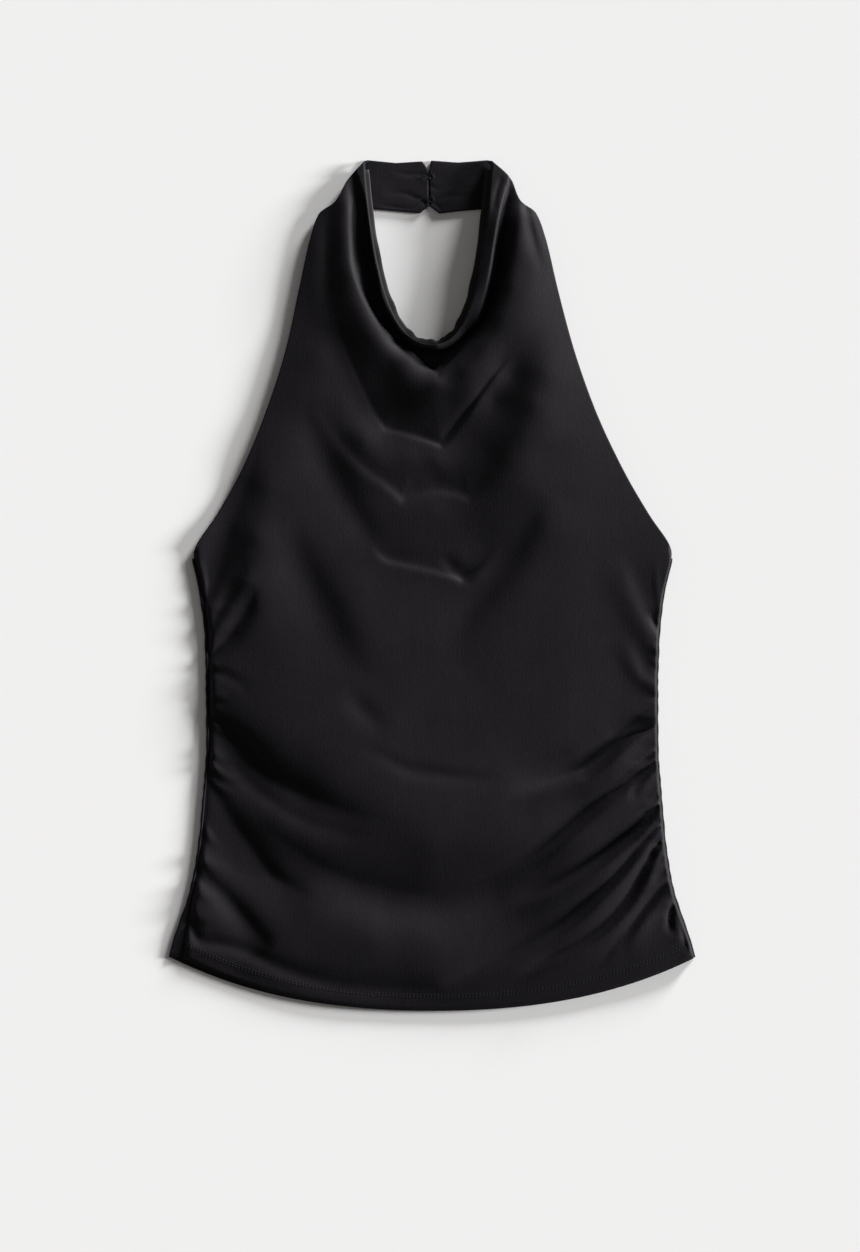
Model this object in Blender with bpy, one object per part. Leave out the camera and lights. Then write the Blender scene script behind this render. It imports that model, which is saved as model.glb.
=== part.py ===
"""Halter neck top with a draped cowl front and gathered side seams, laid out flat on its back.

The top is a tube of satin jersey. The back panel lies on the surface and rolls up round both
sides to the side seams. The front panel starts at those seams, lies over the back panel, and
narrows between the armholes to the neck, where it hangs in U-shaped cowl folds. A facing shows
inside the neckline. Two halves of a neckband lie behind the neck and meet at hooks and eyes.

Frame: +Y towards the neck, +X to the right as seen from above, +Z up. The origin is the middle
of the top's outline, on the surface. Sizes and tables are in millimetres.
"""

import math
from collections import namedtuple

import bpy
import numpy as np

MM = 0.001

# Driving sizes
CLOTH = 1.2  # wall of the front and back panels
BAND_THICKNESS = 2.0  # neckband: two layers of cloth
FACING_THICKNESS = 1.0
SEAM_GAP = 0.3  # between pieces that are sewn together
STEEPEST = 0.7  # cosine of the steepest slope that keeps its full wall
FOLD_FALL = 1.4  # how fast a fold's height falls off across its width
LIFT_SPREAD = 2.5  # how close to the sides the cloth keeps its height from the middle
FLATTEST_LIFT = 0.5  # height that a deep trough keeps over what it lies on
SOFT_LANDING = 0.8  # how gently a trough levels out there
SPOT_SCALE = 100.0  # unit of length in the broad relief
LEAST_SQUARE = 1e-12  # keeps a spot's own distance off zero
SEAM_DIP = 4.0  # how far in from a side seam the front panel dips to meet it
ARMHOLE_ROLL = 4.0  # how far in from an armhole the cloth turns down to the surface
NECK_ROLL = 3.5  # width of the rolled neckline
BACK_NECK_DIP = 12.0  # how far the back panel's top edge dips between the underarms
ABOVE_BACK = (24.0, 32.0)  # heights over which the front steps down from the back panel
ONTO_BAND = (298.0, 309.0)  # and steps up onto the neckband
BAND_FOLD = (322.0, 344.0)  # heights over which its edge rises onto the neckband's fold
FACING_SLOPE = (2.0, 6.0)  # how far past the facing it slopes down again
GATHERS_A_SIDE = 20

# Heights that follow from the pieces lying on each other
OVER_BACK = CLOTH + SEAM_GAP
OVER_BAND = BAND_THICKNESS + SEAM_GAP
OVER_FACING = OVER_BAND + FACING_THICKNESS + SEAM_GAP

# One row for each section across the top, from the hem to the neckline.
#   side_y, half, lean  ends of the section: its height on the sides, half its width, its shift in X
#   mid_x, mid_y        lowest point of the section, in the middle
#   square              0 for a shallow arc such as the hem, 1 for a deep U such as the neckline
#   mid_lift, side_lift how high the cloth would stand if it lay plain, in the middle and by the sides
#   roll                radius of the back panel's turn round the side, 0 above the underarm
#   wrap                how far the back panel lies over the top on the left, past its turn
#   rows                mesh rows from this section to the next
Section = namedtuple(
    "Section", "name side_y half lean mid_x mid_y square mid_lift side_lift roll wrap rows"
)
SECTIONS = [
    Section("hem", -310.0, 219.5, 0.0, 0.0, -354.5, 0.0, 1.0, 2.2, 2.6, 10.0, 2),
    Section("hem_top", -297.0, 216.0, 0.0, 0.0, -341.5, 0.0, 2.8, 4.0, 3.4, 7.6, 4),
    Section("flare", -279.0, 210.0, 0.0, 0.0, -320.0, 0.0, 4.8, 5.0, 3.8, 4.2, 6),
    Section("hip", -255.0, 202.0, 0.0, 0.0, -297.0, 0.0, 5.2, 5.2, 4.2, 1.0, 8),
    Section("high_hip", -217.0, 195.2, 0.2, 0.0, -258.0, 0.0, 5.8, 5.2, 4.2, 0.6, 10),
    Section("low_waist", -180.0, 191.7, 0.3, 0.0, -215.0, 0.0, 6.2, 5.2, 4.2, 0.6, 12),
    Section("waist", -130.0, 188.4, 0.3, 0.0, -160.0, 0.0, 6.0, 5.2, 4.2, 0.6, 12),
    Section("ribs", -80.0, 188.6, 0.0, 0.0, -112.0, 0.0, 5.8, 5.2, 4.2, 0.6, 8),
    Section("side", -42.0, 189.8, 0.2, 0.0, -78.0, 0.0, 5.6, 5.2, 4.2, 0.6, 8),
    Section("side_top", -5.0, 194.3, 0.0, 0.0, -45.0, 0.05, 5.6, 5.2, 3.6, 0.6, 4),
    Section("underarm_low", 10.0, 197.6, 0.2, 0.0, -28.0, 0.06, 5.6, 5.2, 2.8, 0.6, 4),
    Section("underarm", 22.0, 200.2, 0.2, 0.0, -15.0, 0.08, 5.6, 5.2, 2.2, 0.6, 2),
    Section("armhole_foot", 33.0, 196.5, 0.4, 0.0, -3.0, 0.1, 5.6, 5.2, 0.0, 0.0, 3),
    Section("bust", 58.0, 179.8, 0.4, 1.0, 18.0, 0.12, 5.6, 5.6, 0.0, 0.0, 5),
    Section("upper_bust", 96.0, 158.3, 0.0, 2.0, 52.0, 0.16, 5.6, 6.0, 0.0, 0.0, 6),
    Section("chest", 146.0, 136.3, -1.3, 4.0, 88.0, 0.22, 5.8, 6.2, 0.0, 0.0, 6),
    Section("upper_chest", 196.0, 119.6, -2.1, 5.0, 120.0, 0.32, 6.0, 6.2, 0.0, 0.0, 6),
    Section("collarbone", 246.0, 107.5, -3.3, 5.0, 148.0, 0.5, 6.2, 6.2, 0.0, 0.0, 6),
    Section("strap", 290.0, 97.3, -3.7, 4.0, 168.0, 0.7, 6.2, 6.0, 0.0, 0.0, 4),
    Section("shoulder", 309.0, 90.0, -4.0, 3.0, 178.0, 0.8, 6.0, 5.4, 0.0, 0.0, 3),
    Section("neck_notch", 319.0, 77.0, -3.5, 2.0, 183.0, 0.86, 5.8, 5.0, 0.0, 0.0, 3),
    Section("neck_side", 337.0, 68.0, -2.3, 1.5, 191.0, 0.94, 5.4, 5.0, 0.0, 0.0, 4),
    Section("neckline", 353.0, 52.5, -3.5, 1.0, 199.5, 1.0, 5.0, 5.0, 0.0, 0.0, 0),
]

# Where the mesh columns stand: the outer ones in millimetres in from the edge, the others as
# shares of the way from the middle to the last of them.
EDGE_COLUMNS = (0.0, 1.2, 3.6, 9.0, 18.0, 30.0)
MIDDLE_COLUMNS = (0.0, 0.05, 0.11, 0.18, 0.26, 0.35, 0.45, 0.55, 0.66, 0.77, 0.88)

# Spot heights of the broad relief: X, Y and how far the cloth stands over its plain lie there.
# The relief is the smoothest surface through them all.
EDGE_SPOTS = (
    (-219, -310, 0), (-210, -279, 0), (-196, -225, 0), (-189, -165, 0), (-187, -105, 0), (-188, -50, 0),
    (-196, 5, 0), (-188, 46, -0.5), (-158, 96, -1), (-137, 146, -1), (-121, 196, -1), (-110, 246, -1),
    (-100, 292, -0.5), (-86, 315, 0), (-70, 340, 0),
    (219, -310, 1), (210, -279, 4), (196, -225, 6), (189, -165, 7), (187, -105, 7), (188, -50, 7),
    (196, 5, 7), (188, 46, 6.5), (158, 96, 7), (136, 146, 7), (119, 196, 7), (104, 246, 6),
    (94, 292, 4), (82, 315, 3), (66, 340, 2.5),
    (-150, -338, 0), (-75, -352, 0), (0, -355, 0), (75, -352, 0.5), (150, -338, 1),
    (-57, 320, 1.5), (-51, 276, 4), (-42, 240, 5), (-22, 207, 5.5), (4, 197, 5.5), (30, 208, 6.5),
    (44, 240, 7), (51, 280, 7), (58, 318, 5.5),
)

# Crests of the cowl: the outer lips of the drapes, and the cloth that they swell into.
CREST_SPOTS = (
    (-69, 316, 3), (-72, 288, 4), (-67, 258, 5), (-53, 232, 6.5), (-35, 212, 7), (-16, 194, 7.5),
    (2, 168, 8), (24, 180, 11), (39, 200, 12.5), (54, 224, 13.5), (65, 250, 13.5), (74, 278, 12.5),
    (78, 306, 9),
    (98, 236, 8.5), (97, 205, 11), (94, 175, 13), (84, 150, 13.5), (76, 126, 13.5), (65, 104, 12.5),
    (53, 84, 11), (41, 68, 9), (26, 60, 7), (2, 62, 5.5), (-24, 58, 4), (104, 150, 13), (92, 110, 13),
)

# Hollows of the cowl, then the chest, the belly and the swags towards the hem.
HOLLOW_SPOTS = (
    (-5, 183, 0), (13, 187, 8),
    (-88, 262, 1.5), (-86, 232, 1), (-78, 205, 0), (-68, 180, -1), (-57, 158, -1.5), (-47, 140, -1.5),
    (-34, 131, 0), (-8, 125, 2.5), (8, 118, 4.5), (-30, 172, 4), (-18, 148, 4), (14, 150, 8.5),
    (34, 158, 11), (50, 174, 12), (62, 194, 12.5), (40, 138, 7.5), (50, 150, 8), (66, 174, 10),
    (-94, 190, -0.5), (-76, 152, -0.5), (-88, 130, 0), (-62, 118, 0), (-104, 145, -0.5),
    (-90, 106, -0.5), (-72, 72, 1), (-54, 40, 2), (-44, 96, 1), (-24, 84, 2), (2, 88, 3),
    (24, 90, 5), (44, 110, 7), (4, 104, 4.5),
    (-122, 120, 0), (-128, 70, 1), (-118, 20, 1.5), (-100, 60, 0.5), (-100, 0, 1), (-62, 0, 4.5),
    (-154, 80, -2), (-161, 60, -2), (-168, 40, -2), (-174, 22, -2), (-179, 5, -2),
    (-138, 80, 0.5), (-148, 40, 2), (-161, 2, 2),
    (120, 60, 11), (152, 40, 8.5), (168, 0, 7), (130, 0, 9), (90, 50, 11.5), (40, 35, 6.5),
    (0, 35, 5), (-30, 10, 4.5), (30, -20, 6.5), (80, -10, 9),
    (-150, -60, 1.5), (-110, -60, 4), (-60, -50, 6), (0, -80, 7.5), (60, -80, 8.5), (120, -80, 9),
    (168, -80, 7.5),
    (-150, -122, 5), (-120, -120, 7), (-141, -154, 4.5), (-125, -190, 3.5), (-70, -130, 8),
    (-60, -205, 8), (-147, -229, 1), (-175, -185, -0.5), (-104, -238, 3),
    (0, -150, 9), (0, -210, 9.5), (60, -150, 9.5), (60, -210, 9.5), (120, -140, 9.5), (118, -180, 8),
    (120, -212, 9), (165, -120, 8), (168, -150, 8.5), (170, -200, 8.5),
    (-178, -245, -1.5), (-152, -280, 0), (-100, -275, 1), (-100, -305, 0), (-50, -282, 1.5),
    (0, -262, 2), (0, -290, 1.5), (0, -318, 0.5), (60, -265, 3), (60, -310, 1.5), (110, -250, 6),
    (110, -295, 3.5), (150, -225, 8), (150, -250, 7.5), (160, -290, 5.5), (190, -270, 5),
    (-165, -318, -1), (-120, -318, 1), (-50, -325, 0),
)

# One row for each fold. A fold is a crest (height over 0) or a trough (height under 0).
#   neck_width, hem_width  how far it spreads to either side, towards the neck and the hem
#   fade                   shares of its length over which it fades in and out
#   legs                   the smooth stretches of its route; two legs meet in a sharp V
Fold = namedtuple("Fold", "name height neck_width hem_width fade legs")
FOLDS = [
    Fold("first_valley", -10.0, 8.0, 7.5, (0.05, 0.05),
         (((-66, 342), (-60, 300), (-52, 260), (-30, 217), (5, 184)),
          ((5, 184), (36, 211), (53, 250), (62, 296), (69, 338)))),
    Fold("second_valley", -3.0, 12.0, 7.0, (0.2, 0.16),
         (((-84, 232), (-66, 180), (-39, 130), (-16, 125), (9, 116)),
          ((9, 116), (22, 134), (42, 162), (63, 190)))),
    Fold("third_valley", -1.6, 12.0, 8.0, (0.2, 0.2),
         (((-84, 130), (-50, 94), (-22, 72)),
          ((-22, 72), (-6, 76), (13, 77), (31, 73)),
          ((31, 73), (50, 96), (68, 124)))),
    Fold("left_cowl_valley", -1.6, 10.0, 14.0, (0.15, 0.15),
         (((-108, 158), (-92, 121), (-72, 84), (-54, 47), (-42, 27)),)),
    Fold("fourth_valley", -1.8, 12.0, 6.0, (0.3, 0.2),
         (((-64, 39), (-40, 20), (-6, 17), (24, 6)), ((24, 6), (35, 12), (50, 32)))),
    Fold("left_strap_valley", -1.6, 7.0, 7.0, (0.1, 0.3),
         (((-85, 312), (-88, 285), (-90, 250), (-84, 205)),)),
    Fold("right_strap_valley", -1.6, 4.5, 4.5, (0.1, 0.3),
         (((78, 312), (81, 296), (87, 278), (95, 258)),)),
    Fold("right_bust_valley", -1.8, 16.0, 16.0, (0.2, 0.3),
         (((102, 70), (88, 20), (60, -24), (20, -68)),)),
    Fold("left_bust_valley", -2.4, 10.0, 20.0, (0.2, 0.15),
         (((-110, 50), (-92, 4), (-70, -36), (-48, -80)),)),
    Fold("left_armhole_valley", -3.2, 6.0, 8.0, (0.3, 0.0),
         (((-142, 118), (-157, 76), (-172, 30), (-181, -4), (-187, -32)),)),
    Fold("left_side_valley", -3.6, 5.0, 9.0, (0.25, 0.0),
         (((-149, -8), (-156, -32), (-170, -50), (-187, -66)),)),
    Fold("left_first_swag", -6.0, 16.0, 20.0, (0.0, 0.4),
         (((-187, -109), (-163, -128), (-138, -156), (-96, -179), (-18, -199)),)),
    Fold("left_second_swag", -5.4, 18.0, 18.0, (0.1, 0.3),
         (((-187, -164), (-168, -203), (-140, -236), (-112, -256), (-84, -270)),)),
    Fold("middle_swag", -6.0, 24.0, 16.0, (0.3, 0.2),
         (((-150, -194), (-104, -230), (-55, -252), (0, -262), (75, -239), (135, -195), (187, -150)),)),
    Fold("left_third_swag", -3.4, 10.0, 12.0, (0.0, 0.2),
         (((-191, -240), (-166, -265), (-142, -293), (-130, -308)),)),
    Fold("hem_swag_left", -2.2, 10.0, 6.0, (0.1, 0.0),
         (((-199, -264), (-193, -295), (-150, -306), (-90, -328), (0, -335)),)),
    Fold("hem_swag_right", -3.4, 10.0, 7.0, (0.0, 0.0),
         (((0, -335), (40, -321), (105, -291), (150, -252), (189, -202)),)),
    Fold("right_waist_swag", -4.0, 9.0, 7.0, (0.0, 0.4),
         (((187, -119), (162, -130), (133, -155), (68, -178)),)),
    Fold("right_rib_swag", -1.6, 5.0, 4.0, (0.0, 0.4),
         (((187, -100), (166, -115), (134, -141)),)),
    Fold("right_hip_swag", -4.0, 11.0, 8.0, (0.0, 0.5),
         (((190, -182), (165, -212), (130, -238), (66, -268)),)),
    Fold("right_lower_swag", -2.4, 8.0, 7.0, (0.1, 0.3),
         (((186, -222), (170, -258), (132, -294), (66, -335)),)),
    Fold("right_corner_swag", -2.2, 6.0, 5.0, (0.0, 0.3),
         (((196, -248), (180, -272), (160, -308)),)),
    Fold("middle_crease", -1.4, 5.0, 5.0, (0.4, 0.5),
         (((-58, -138), (-22, -152), (10, -158), (56, -161)),)),
]

# Gathers along the side seams fan out from the tops of the seams to the hem.
#   seam_y      height on the seam
#   rise        angle of the gather as it leaves the seam, in degrees: over 0 towards the neck
#   reach       length of the gather
Fan = namedtuple("Fan", "seam_y rise reach")
GATHER_FAN = [
    Fan(-12.0, 66.0, 26.0),
    Fan(-60.0, 42.0, 24.0),
    Fan(-88.0, 8.0, 16.0),
    Fan(-120.0, -46.0, 30.0),
    Fan(-200.0, -50.0, 34.0),
    Fan(-250.0, -60.0, 28.0),
    Fan(-290.0, -76.0, 16.0),
]
GATHER_HEIGHT = 1.7
GATHER_WIDTH = 4.2
SHORTEST_SHARE = 0.55  # a short gather next to a long one

# Neckband outlines, anticlockwise from the top corner by the fold.
LEFT_BAND = ((-54.3, 354.5), (-65.5, 338.5), (-74.0, 321.0), (-73.0, 316.5), (-45.0, 312.5),
             (-10.0, 309.3), (-6.0, 313.5), (-2.4, 315.5), (-2.9, 330.0), (-3.6, 345.0),
             (-8.0, 353.3), (-30.0, 351.6))
RIGHT_BAND = ((47.3, 354.5), (22.0, 352.0), (-1.0, 354.2), (-3.0, 345.0), (-2.3, 330.0),
              (-1.8, 315.5), (2.0, 312.6), (6.0, 309.0), (24.0, 311.5), (46.0, 313.0),
              (67.0, 316.5), (67.5, 321.0), (60.5, 338.5))
BAND_BEVEL = 0.5

# How far the facing shows inside the neckline, at the left end, the bottom and the right end.
FACING_SHOWS = (2.6, 4.6, 4.0)
FACING_TUCK = 3.2

# Hooks and eyes across the join of the neckband.
HOOK_HEIGHTS = {"upper": 340.0, "lower": 321.0}
WIRE_RADIUS = 0.35
HOOK_LENGTH = 8.0
HOOK_RISE = 1.1
EYE_RADIUS = 2.2
JOIN_X = -2.7


def smooth_step(low, high, value):
    """0 below low, 1 above high, and a smooth ramp between."""
    t = np.clip((value - low) / (high - low), 0.0, 1.0)
    return t * t * (3.0 - 2.0 * t)


def monotone(knots, values, at):
    """Smooth curve through the values that never swings past them."""
    step = np.diff(knots)
    rise = np.diff(values) / step
    slope = np.zeros(len(knots))
    slope[0], slope[-1] = rise[0], rise[-1]
    same_way = rise[:-1] * rise[1:] > 0
    mean = 2.0 * rise[:-1] * rise[1:] / np.where(same_way, rise[:-1] + rise[1:], 1.0)
    slope[1:-1] = np.where(same_way, mean, 0.0)
    i = np.clip(np.searchsorted(knots, at, side="right") - 1, 0, len(step) - 1)
    t = (at - knots[i]) / step[i]
    return (
        values[i] * (1 + 2 * t) * (1 - t) ** 2
        + slope[i] * step[i] * t * (1 - t) ** 2
        + values[i + 1] * t**2 * (3 - 2 * t)
        + slope[i + 1] * step[i] * t**2 * (t - 1)
    )


def section_values(at):
    """Each column of SECTIONS at the mesh rows in at, as a dict of arrays."""
    knots = np.cumsum([0] + [s.rows for s in SECTIONS[:-1]]).astype(float)
    return {
        column: monotone(knots, np.array([getattr(s, column) for s in SECTIONS]), at)
        for column in Section._fields[1:-1]
    }


def row_of(name):
    """Mesh row on which a section lies."""
    names = [s.name for s in SECTIONS]
    return sum(s.rows for s in SECTIONS[: names.index(name)])


ROWS = row_of("neckline")
SPOTS = np.array(EDGE_SPOTS + CREST_SPOTS + HOLLOW_SPOTS, float)


def bezier(p0, p1, p2, p3, t):
    return (1 - t) ** 3 * p0 + 3 * (1 - t) ** 2 * t * p1 + 3 * (1 - t) * t**2 * p2 + t**3 * p3


def section_points(values, inset, side, along):
    """Plan of one half of a section: along is 0 in the middle and 1 at its end."""
    end_x = values["lean"] + side * (values["half"] - inset)
    span = end_x - values["mid_x"]
    drop = values["side_y"] - values["mid_y"]
    square = values["square"]
    x = bezier(
        values["mid_x"],
        values["mid_x"] + span * (0.36 + 0.18 * square),
        values["mid_x"] + span * (0.68 + 0.16 * square),
        end_x,
        along,
    )
    y = bezier(
        values["mid_y"],
        values["mid_y"],
        values["mid_y"] + drop * (0.22 + 0.05 * square),
        values["side_y"],
        along,
    )
    return x, y


def smooth_leg(points, steps=6):
    """Catmull-Rom curve through a leg's points, as an array of plan points."""
    p = np.array(points, float)
    padded = np.vstack([2 * p[0] - p[1], p, 2 * p[-1] - p[-2]])
    t = np.linspace(0.0, 1.0, steps, endpoint=False)[:, None]
    spans = [
        0.5 * (2 * b + (c - a) * t + (2 * a - 5 * b + 4 * c - d) * t**2 + (3 * b - a - 3 * c + d) * t**3)
        for a, b, c, d in zip(padded, padded[1:], padded[2:], padded[3:])
    ]
    return np.vstack(spans + [p[-1:]])


def measure(route, x, y):
    """Distance from a route, its side (over 0 on the left of travel) and the share along it."""
    a, b = route[:-1], route[1:]
    d = b - a
    lengths = np.hypot(d[:, 0], d[:, 1])
    starts = np.concatenate([[0.0], np.cumsum(lengths)])
    px = x[:, None] - a[None, :, 0]
    py = y[:, None] - a[None, :, 1]
    t = np.clip((px * d[:, 0] + py * d[:, 1]) / lengths**2, 0.0, 1.0)
    away = np.hypot(px - t * d[:, 0], py - t * d[:, 1])
    nearest = away.argmin(axis=1)
    rows = np.arange(len(x))
    cross = d[nearest, 0] * py[rows, nearest] - d[nearest, 1] * px[rows, nearest]
    share = (starts[nearest] + t[rows, nearest] * lengths[nearest]) / starts[-1]
    return away[rows, nearest], np.sign(cross), share


def fold_height(route, height, neck_width, hem_width, fade, x, y):
    """Height that one fold adds at each point."""
    away, side, share = measure(route, x, y)
    heads_right = route[-1, 0] > route[0, 0]
    towards_neck = side > 0 if heads_right else side < 0
    reach = np.where(towards_neck, neck_width, hem_width)
    fade_in = smooth_step(0.0, fade[0], share) if fade[0] > 0 else 1.0
    fade_out = smooth_step(0.0, fade[1], 1.0 - share) if fade[1] > 0 else 1.0
    return height * np.exp(-FOLD_FALL * (away / reach) ** 2) * fade_in * fade_out


def gather_routes(side):
    """Routes of the gathers on one side seam (-1 left, 1 right), long and short in turn."""
    seam = np.array([f.seam_y for f in GATHER_FAN])[::-1]
    heights = np.linspace(GATHER_FAN[0].seam_y, GATHER_FAN[-1].seam_y, GATHERS_A_SIDE)
    for k, seam_y in enumerate(heights):
        rise = math.radians(np.interp(seam_y, seam, [f.rise for f in GATHER_FAN][::-1]))
        reach = np.interp(seam_y, seam, [f.reach for f in GATHER_FAN][::-1])
        reach *= SHORTEST_SHARE + (1 - SHORTEST_SHARE) * math.cos(2.4 * k + side) ** 2
        values = section_values(np.array([seam_row(seam_y)]))
        wrap = values["wrap"][0] if side < 0 else 0.0
        start_x = float(values["lean"][0] + side * (values["half"][0] - values["roll"][0] - wrap))
        bend = 0.7 * rise
        middle = (start_x - side * 0.5 * reach * math.cos(rise), seam_y + 0.5 * reach * math.sin(rise))
        end = (start_x - side * reach * math.cos(bend), seam_y + reach * math.sin(bend))
        yield smooth_leg(((start_x, seam_y), middle, end), steps=3)


def seam_row(seam_y):
    """Mesh row, with its fraction, at a height on the side seam."""
    rows = np.arange(row_of("underarm") + 1).astype(float)
    return float(np.interp(seam_y, section_values(rows)["side_y"], rows))


def fold_field(x, y):
    """Height of all folds and gathers at each point."""
    total = np.zeros(len(x))
    for fold in FOLDS:
        route = np.vstack([smooth_leg(leg) for leg in fold.legs])
        keep = np.append(True, np.hypot(*np.diff(route, axis=0).T) > 1e-6)
        total += fold_height(
            route[keep], fold.height, fold.neck_width, fold.hem_width, fold.fade, x, y
        )
    for side in (-1, 1):
        for route in gather_routes(side):
            total += fold_height(route, GATHER_HEIGHT, GATHER_WIDTH, GATHER_WIDTH, (0.0, 0.7), x, y)
    return total


def bend(x, y):
    """Pull of every spot, a column each, on plan points: the bending of a thin sheet."""
    square = (x[:, None] - SPOTS[:, 0]) ** 2 + (y[:, None] - SPOTS[:, 1]) ** 2
    square = square / SPOT_SCALE**2
    return 0.5 * square * np.log(np.maximum(square, LEAST_SQUARE))


def plane(x, y):
    """The level and tilts of a plane at plan points, a column each."""
    return np.column_stack([np.ones(len(x)), x / SPOT_SCALE, y / SPOT_SCALE])


def relief_weights():
    """Weights of the spots and of the plane that bring the relief through every spot."""
    count = len(SPOTS)
    flat = plane(SPOTS[:, 0], SPOTS[:, 1])
    system = np.zeros((count + 3, count + 3))
    system[:count, :count] = bend(SPOTS[:, 0], SPOTS[:, 1])
    system[:count, count:] = flat
    system[count:, :count] = flat.T
    return np.linalg.solve(system, np.append(SPOTS[:, 2], np.zeros(3)))


def relief(x, y):
    """Height of the broad relief at each point."""
    weights = relief_weights()
    return bend(x, y) @ weights[:-3] + plane(x, y) @ weights[-3:]


def under_front(x, y):
    """Height of what lies under the front panel: back panel, surface, neckband and facing."""
    over_back = OVER_BACK * (1.0 - smooth_step(*ABOVE_BACK, y))
    over_band = OVER_BAND * smooth_step(*ONTO_BAND, y)
    from_neckline, _, _ = measure(neckline_route(), x, y)
    past_facing = from_neckline - FACING_TUCK
    over_facing = OVER_FACING * (1.0 - smooth_step(*FACING_SLOPE, past_facing))
    return np.maximum(np.maximum(over_back, over_band), over_facing)


def quarter_turn(distance, radius):
    """0 at an edge, rising along a quarter circle to 1 at radius from it."""
    t = np.clip(distance / radius, 0.0, 1.0)
    return np.sqrt(1.0 - (1.0 - t) ** 2)


class Sheet:
    """A graded grid of points: rows by columns, with some points left out where it is plain."""

    def __init__(self, rows, columns, keep):
        self.kept = [[j for j in range(rows + 1) if keep(j, i)] for i in range(columns)]
        self.number = {}
        for i, column in enumerate(self.kept):
            for j in column:
                self.number[(j, i)] = len(self.number)
        self.row = np.array([j for j, _ in self.number], float)
        self.column = np.array([i for _, i in self.number])

    def faces(self, points):
        """Triangles between neighbouring columns, the shorter diagonal first."""
        made = []
        for i, (near, far) in enumerate(zip(self.kept, self.kept[1:])):
            left = [self.number[(j, i)] for j in near]
            right = [self.number[(j, i + 1)] for j in far]
            a = b = 0
            while a + b < len(left) + len(right) - 2:
                if self.left_goes_first(points, near, far, left, right, a, b):
                    made.append([left[a], right[b], left[a + 1]])
                    a += 1
                else:
                    made.append([left[a], right[b], right[b + 1]])
                    b += 1
        return made

    def left_goes_first(self, points, near, far, left, right, a, b):
        """Whether the next triangle of a strip steps up its left column."""
        if b == len(right) - 1:
            return True
        if a == len(left) - 1:
            return False
        if near[a + 1] != far[b + 1]:
            return near[a + 1] < far[b + 1]
        up_left = points[left[a + 1]] - points[right[b]]
        up_right = points[right[b + 1]] - points[left[a]]
        return up_left @ up_left < up_right @ up_right


def vertex_normals(points, faces, rounds=2):
    """Unit normals at the points, evened out over their neighbours a few times."""
    normals = np.zeros_like(points)
    for face in faces:
        corners = points[face]
        normals[face] += np.cross(corners, np.roll(corners, -1, axis=0)).sum(axis=0)
    for _ in range(rounds):
        normals /= np.linalg.norm(normals, axis=1)[:, None]
        evened = normals.copy()
        for face in faces:
            evened[face] += normals[face].mean(axis=0)
        normals = evened
    return normals / np.linalg.norm(normals, axis=1)[:, None]


def add_wall(name, outer, inner, faces, material):
    """Closed object between an outer sheet and the matching points on its inner side."""
    count = len(outer)
    edges = {(a, b) for face in faces for a, b in zip(face, face[1:] + face[:1])}
    rim = [(b, a, a + count, b + count) for a, b in sorted(edges) if (b, a) not in edges]
    inside = [[p + count for p in reversed(face)] for face in faces]
    mesh = bpy.data.meshes.new(name)
    mesh.from_pydata((np.vstack([outer, inner]) * MM).tolist(), [], faces + inside + rim)
    mesh.materials.append(material)
    mesh.shade_smooth()
    obj = bpy.data.objects.new(name, mesh)
    bpy.context.scene.collection.objects.link(obj)
    return obj


def column_places(values, inset, side, index):
    """Share of the way from the middle to the end of a section for each column."""
    end_x, _ = section_points(values, inset, side, 1.0)
    near_x, near_y = section_points(values, inset, side, 0.99)
    speed = 100.0 * np.hypot(end_x - near_x, values["side_y"] - near_y)
    last_edge = 1.0 - EDGE_COLUMNS[-1] / speed
    middle = np.array(MIDDLE_COLUMNS + (0.0,) * len(EDGE_COLUMNS))[index] * last_edge
    edges = np.array((0.0,) * len(MIDDLE_COLUMNS) + EDGE_COLUMNS[::-1])[index]
    return np.where(index < len(MIDDLE_COLUMNS), middle, 1.0 - edges / speed)


def front_plan(sheet, seam):
    """Plan points of the front panel's sheet, each one's share of its section, and the sections."""
    half_columns = len(MIDDLE_COLUMNS) + len(EDGE_COLUMNS) - 1
    offset = sheet.column - half_columns
    side = np.where(offset < 0, -1.0, 1.0)
    values = section_values(sheet.row)
    wrap = np.where(side < 0, values["wrap"], 0.0)
    inset = seam * (values["roll"] + wrap + SEAM_GAP)
    share = column_places(values, inset, side, np.abs(offset))
    x, y = section_points(values, inset, side, share)
    return x, y, share, values


def edge_route(side):
    """Outline of one armhole and neck side, from the underarm to the neckline."""
    rows = np.linspace(row_of("underarm"), ROWS, 60)
    values = section_values(rows)
    return np.column_stack([values["lean"] + side * values["half"], values["side_y"]])


def neckline_route(steps=19):
    """The neckline from its left end, through the bottom, to its right end."""
    along = np.linspace(0.0, 1.0, steps)
    values = {k: np.full(steps, v[0]) for k, v in section_values(np.array([float(ROWS)])).items()}
    left = np.column_stack(section_points(values, 0.0, -1.0, along[::-1]))
    right = np.column_stack(section_points(values, 0.0, 1.0, along))
    return np.vstack([left, right[1:]])


def edge_foot(y):
    """Lowest point of a turned-down edge: the surface, then the top of the neckband's fold."""
    return (OVER_BAND + CLOTH) * smooth_step(*BAND_FOLD, y)


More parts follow.
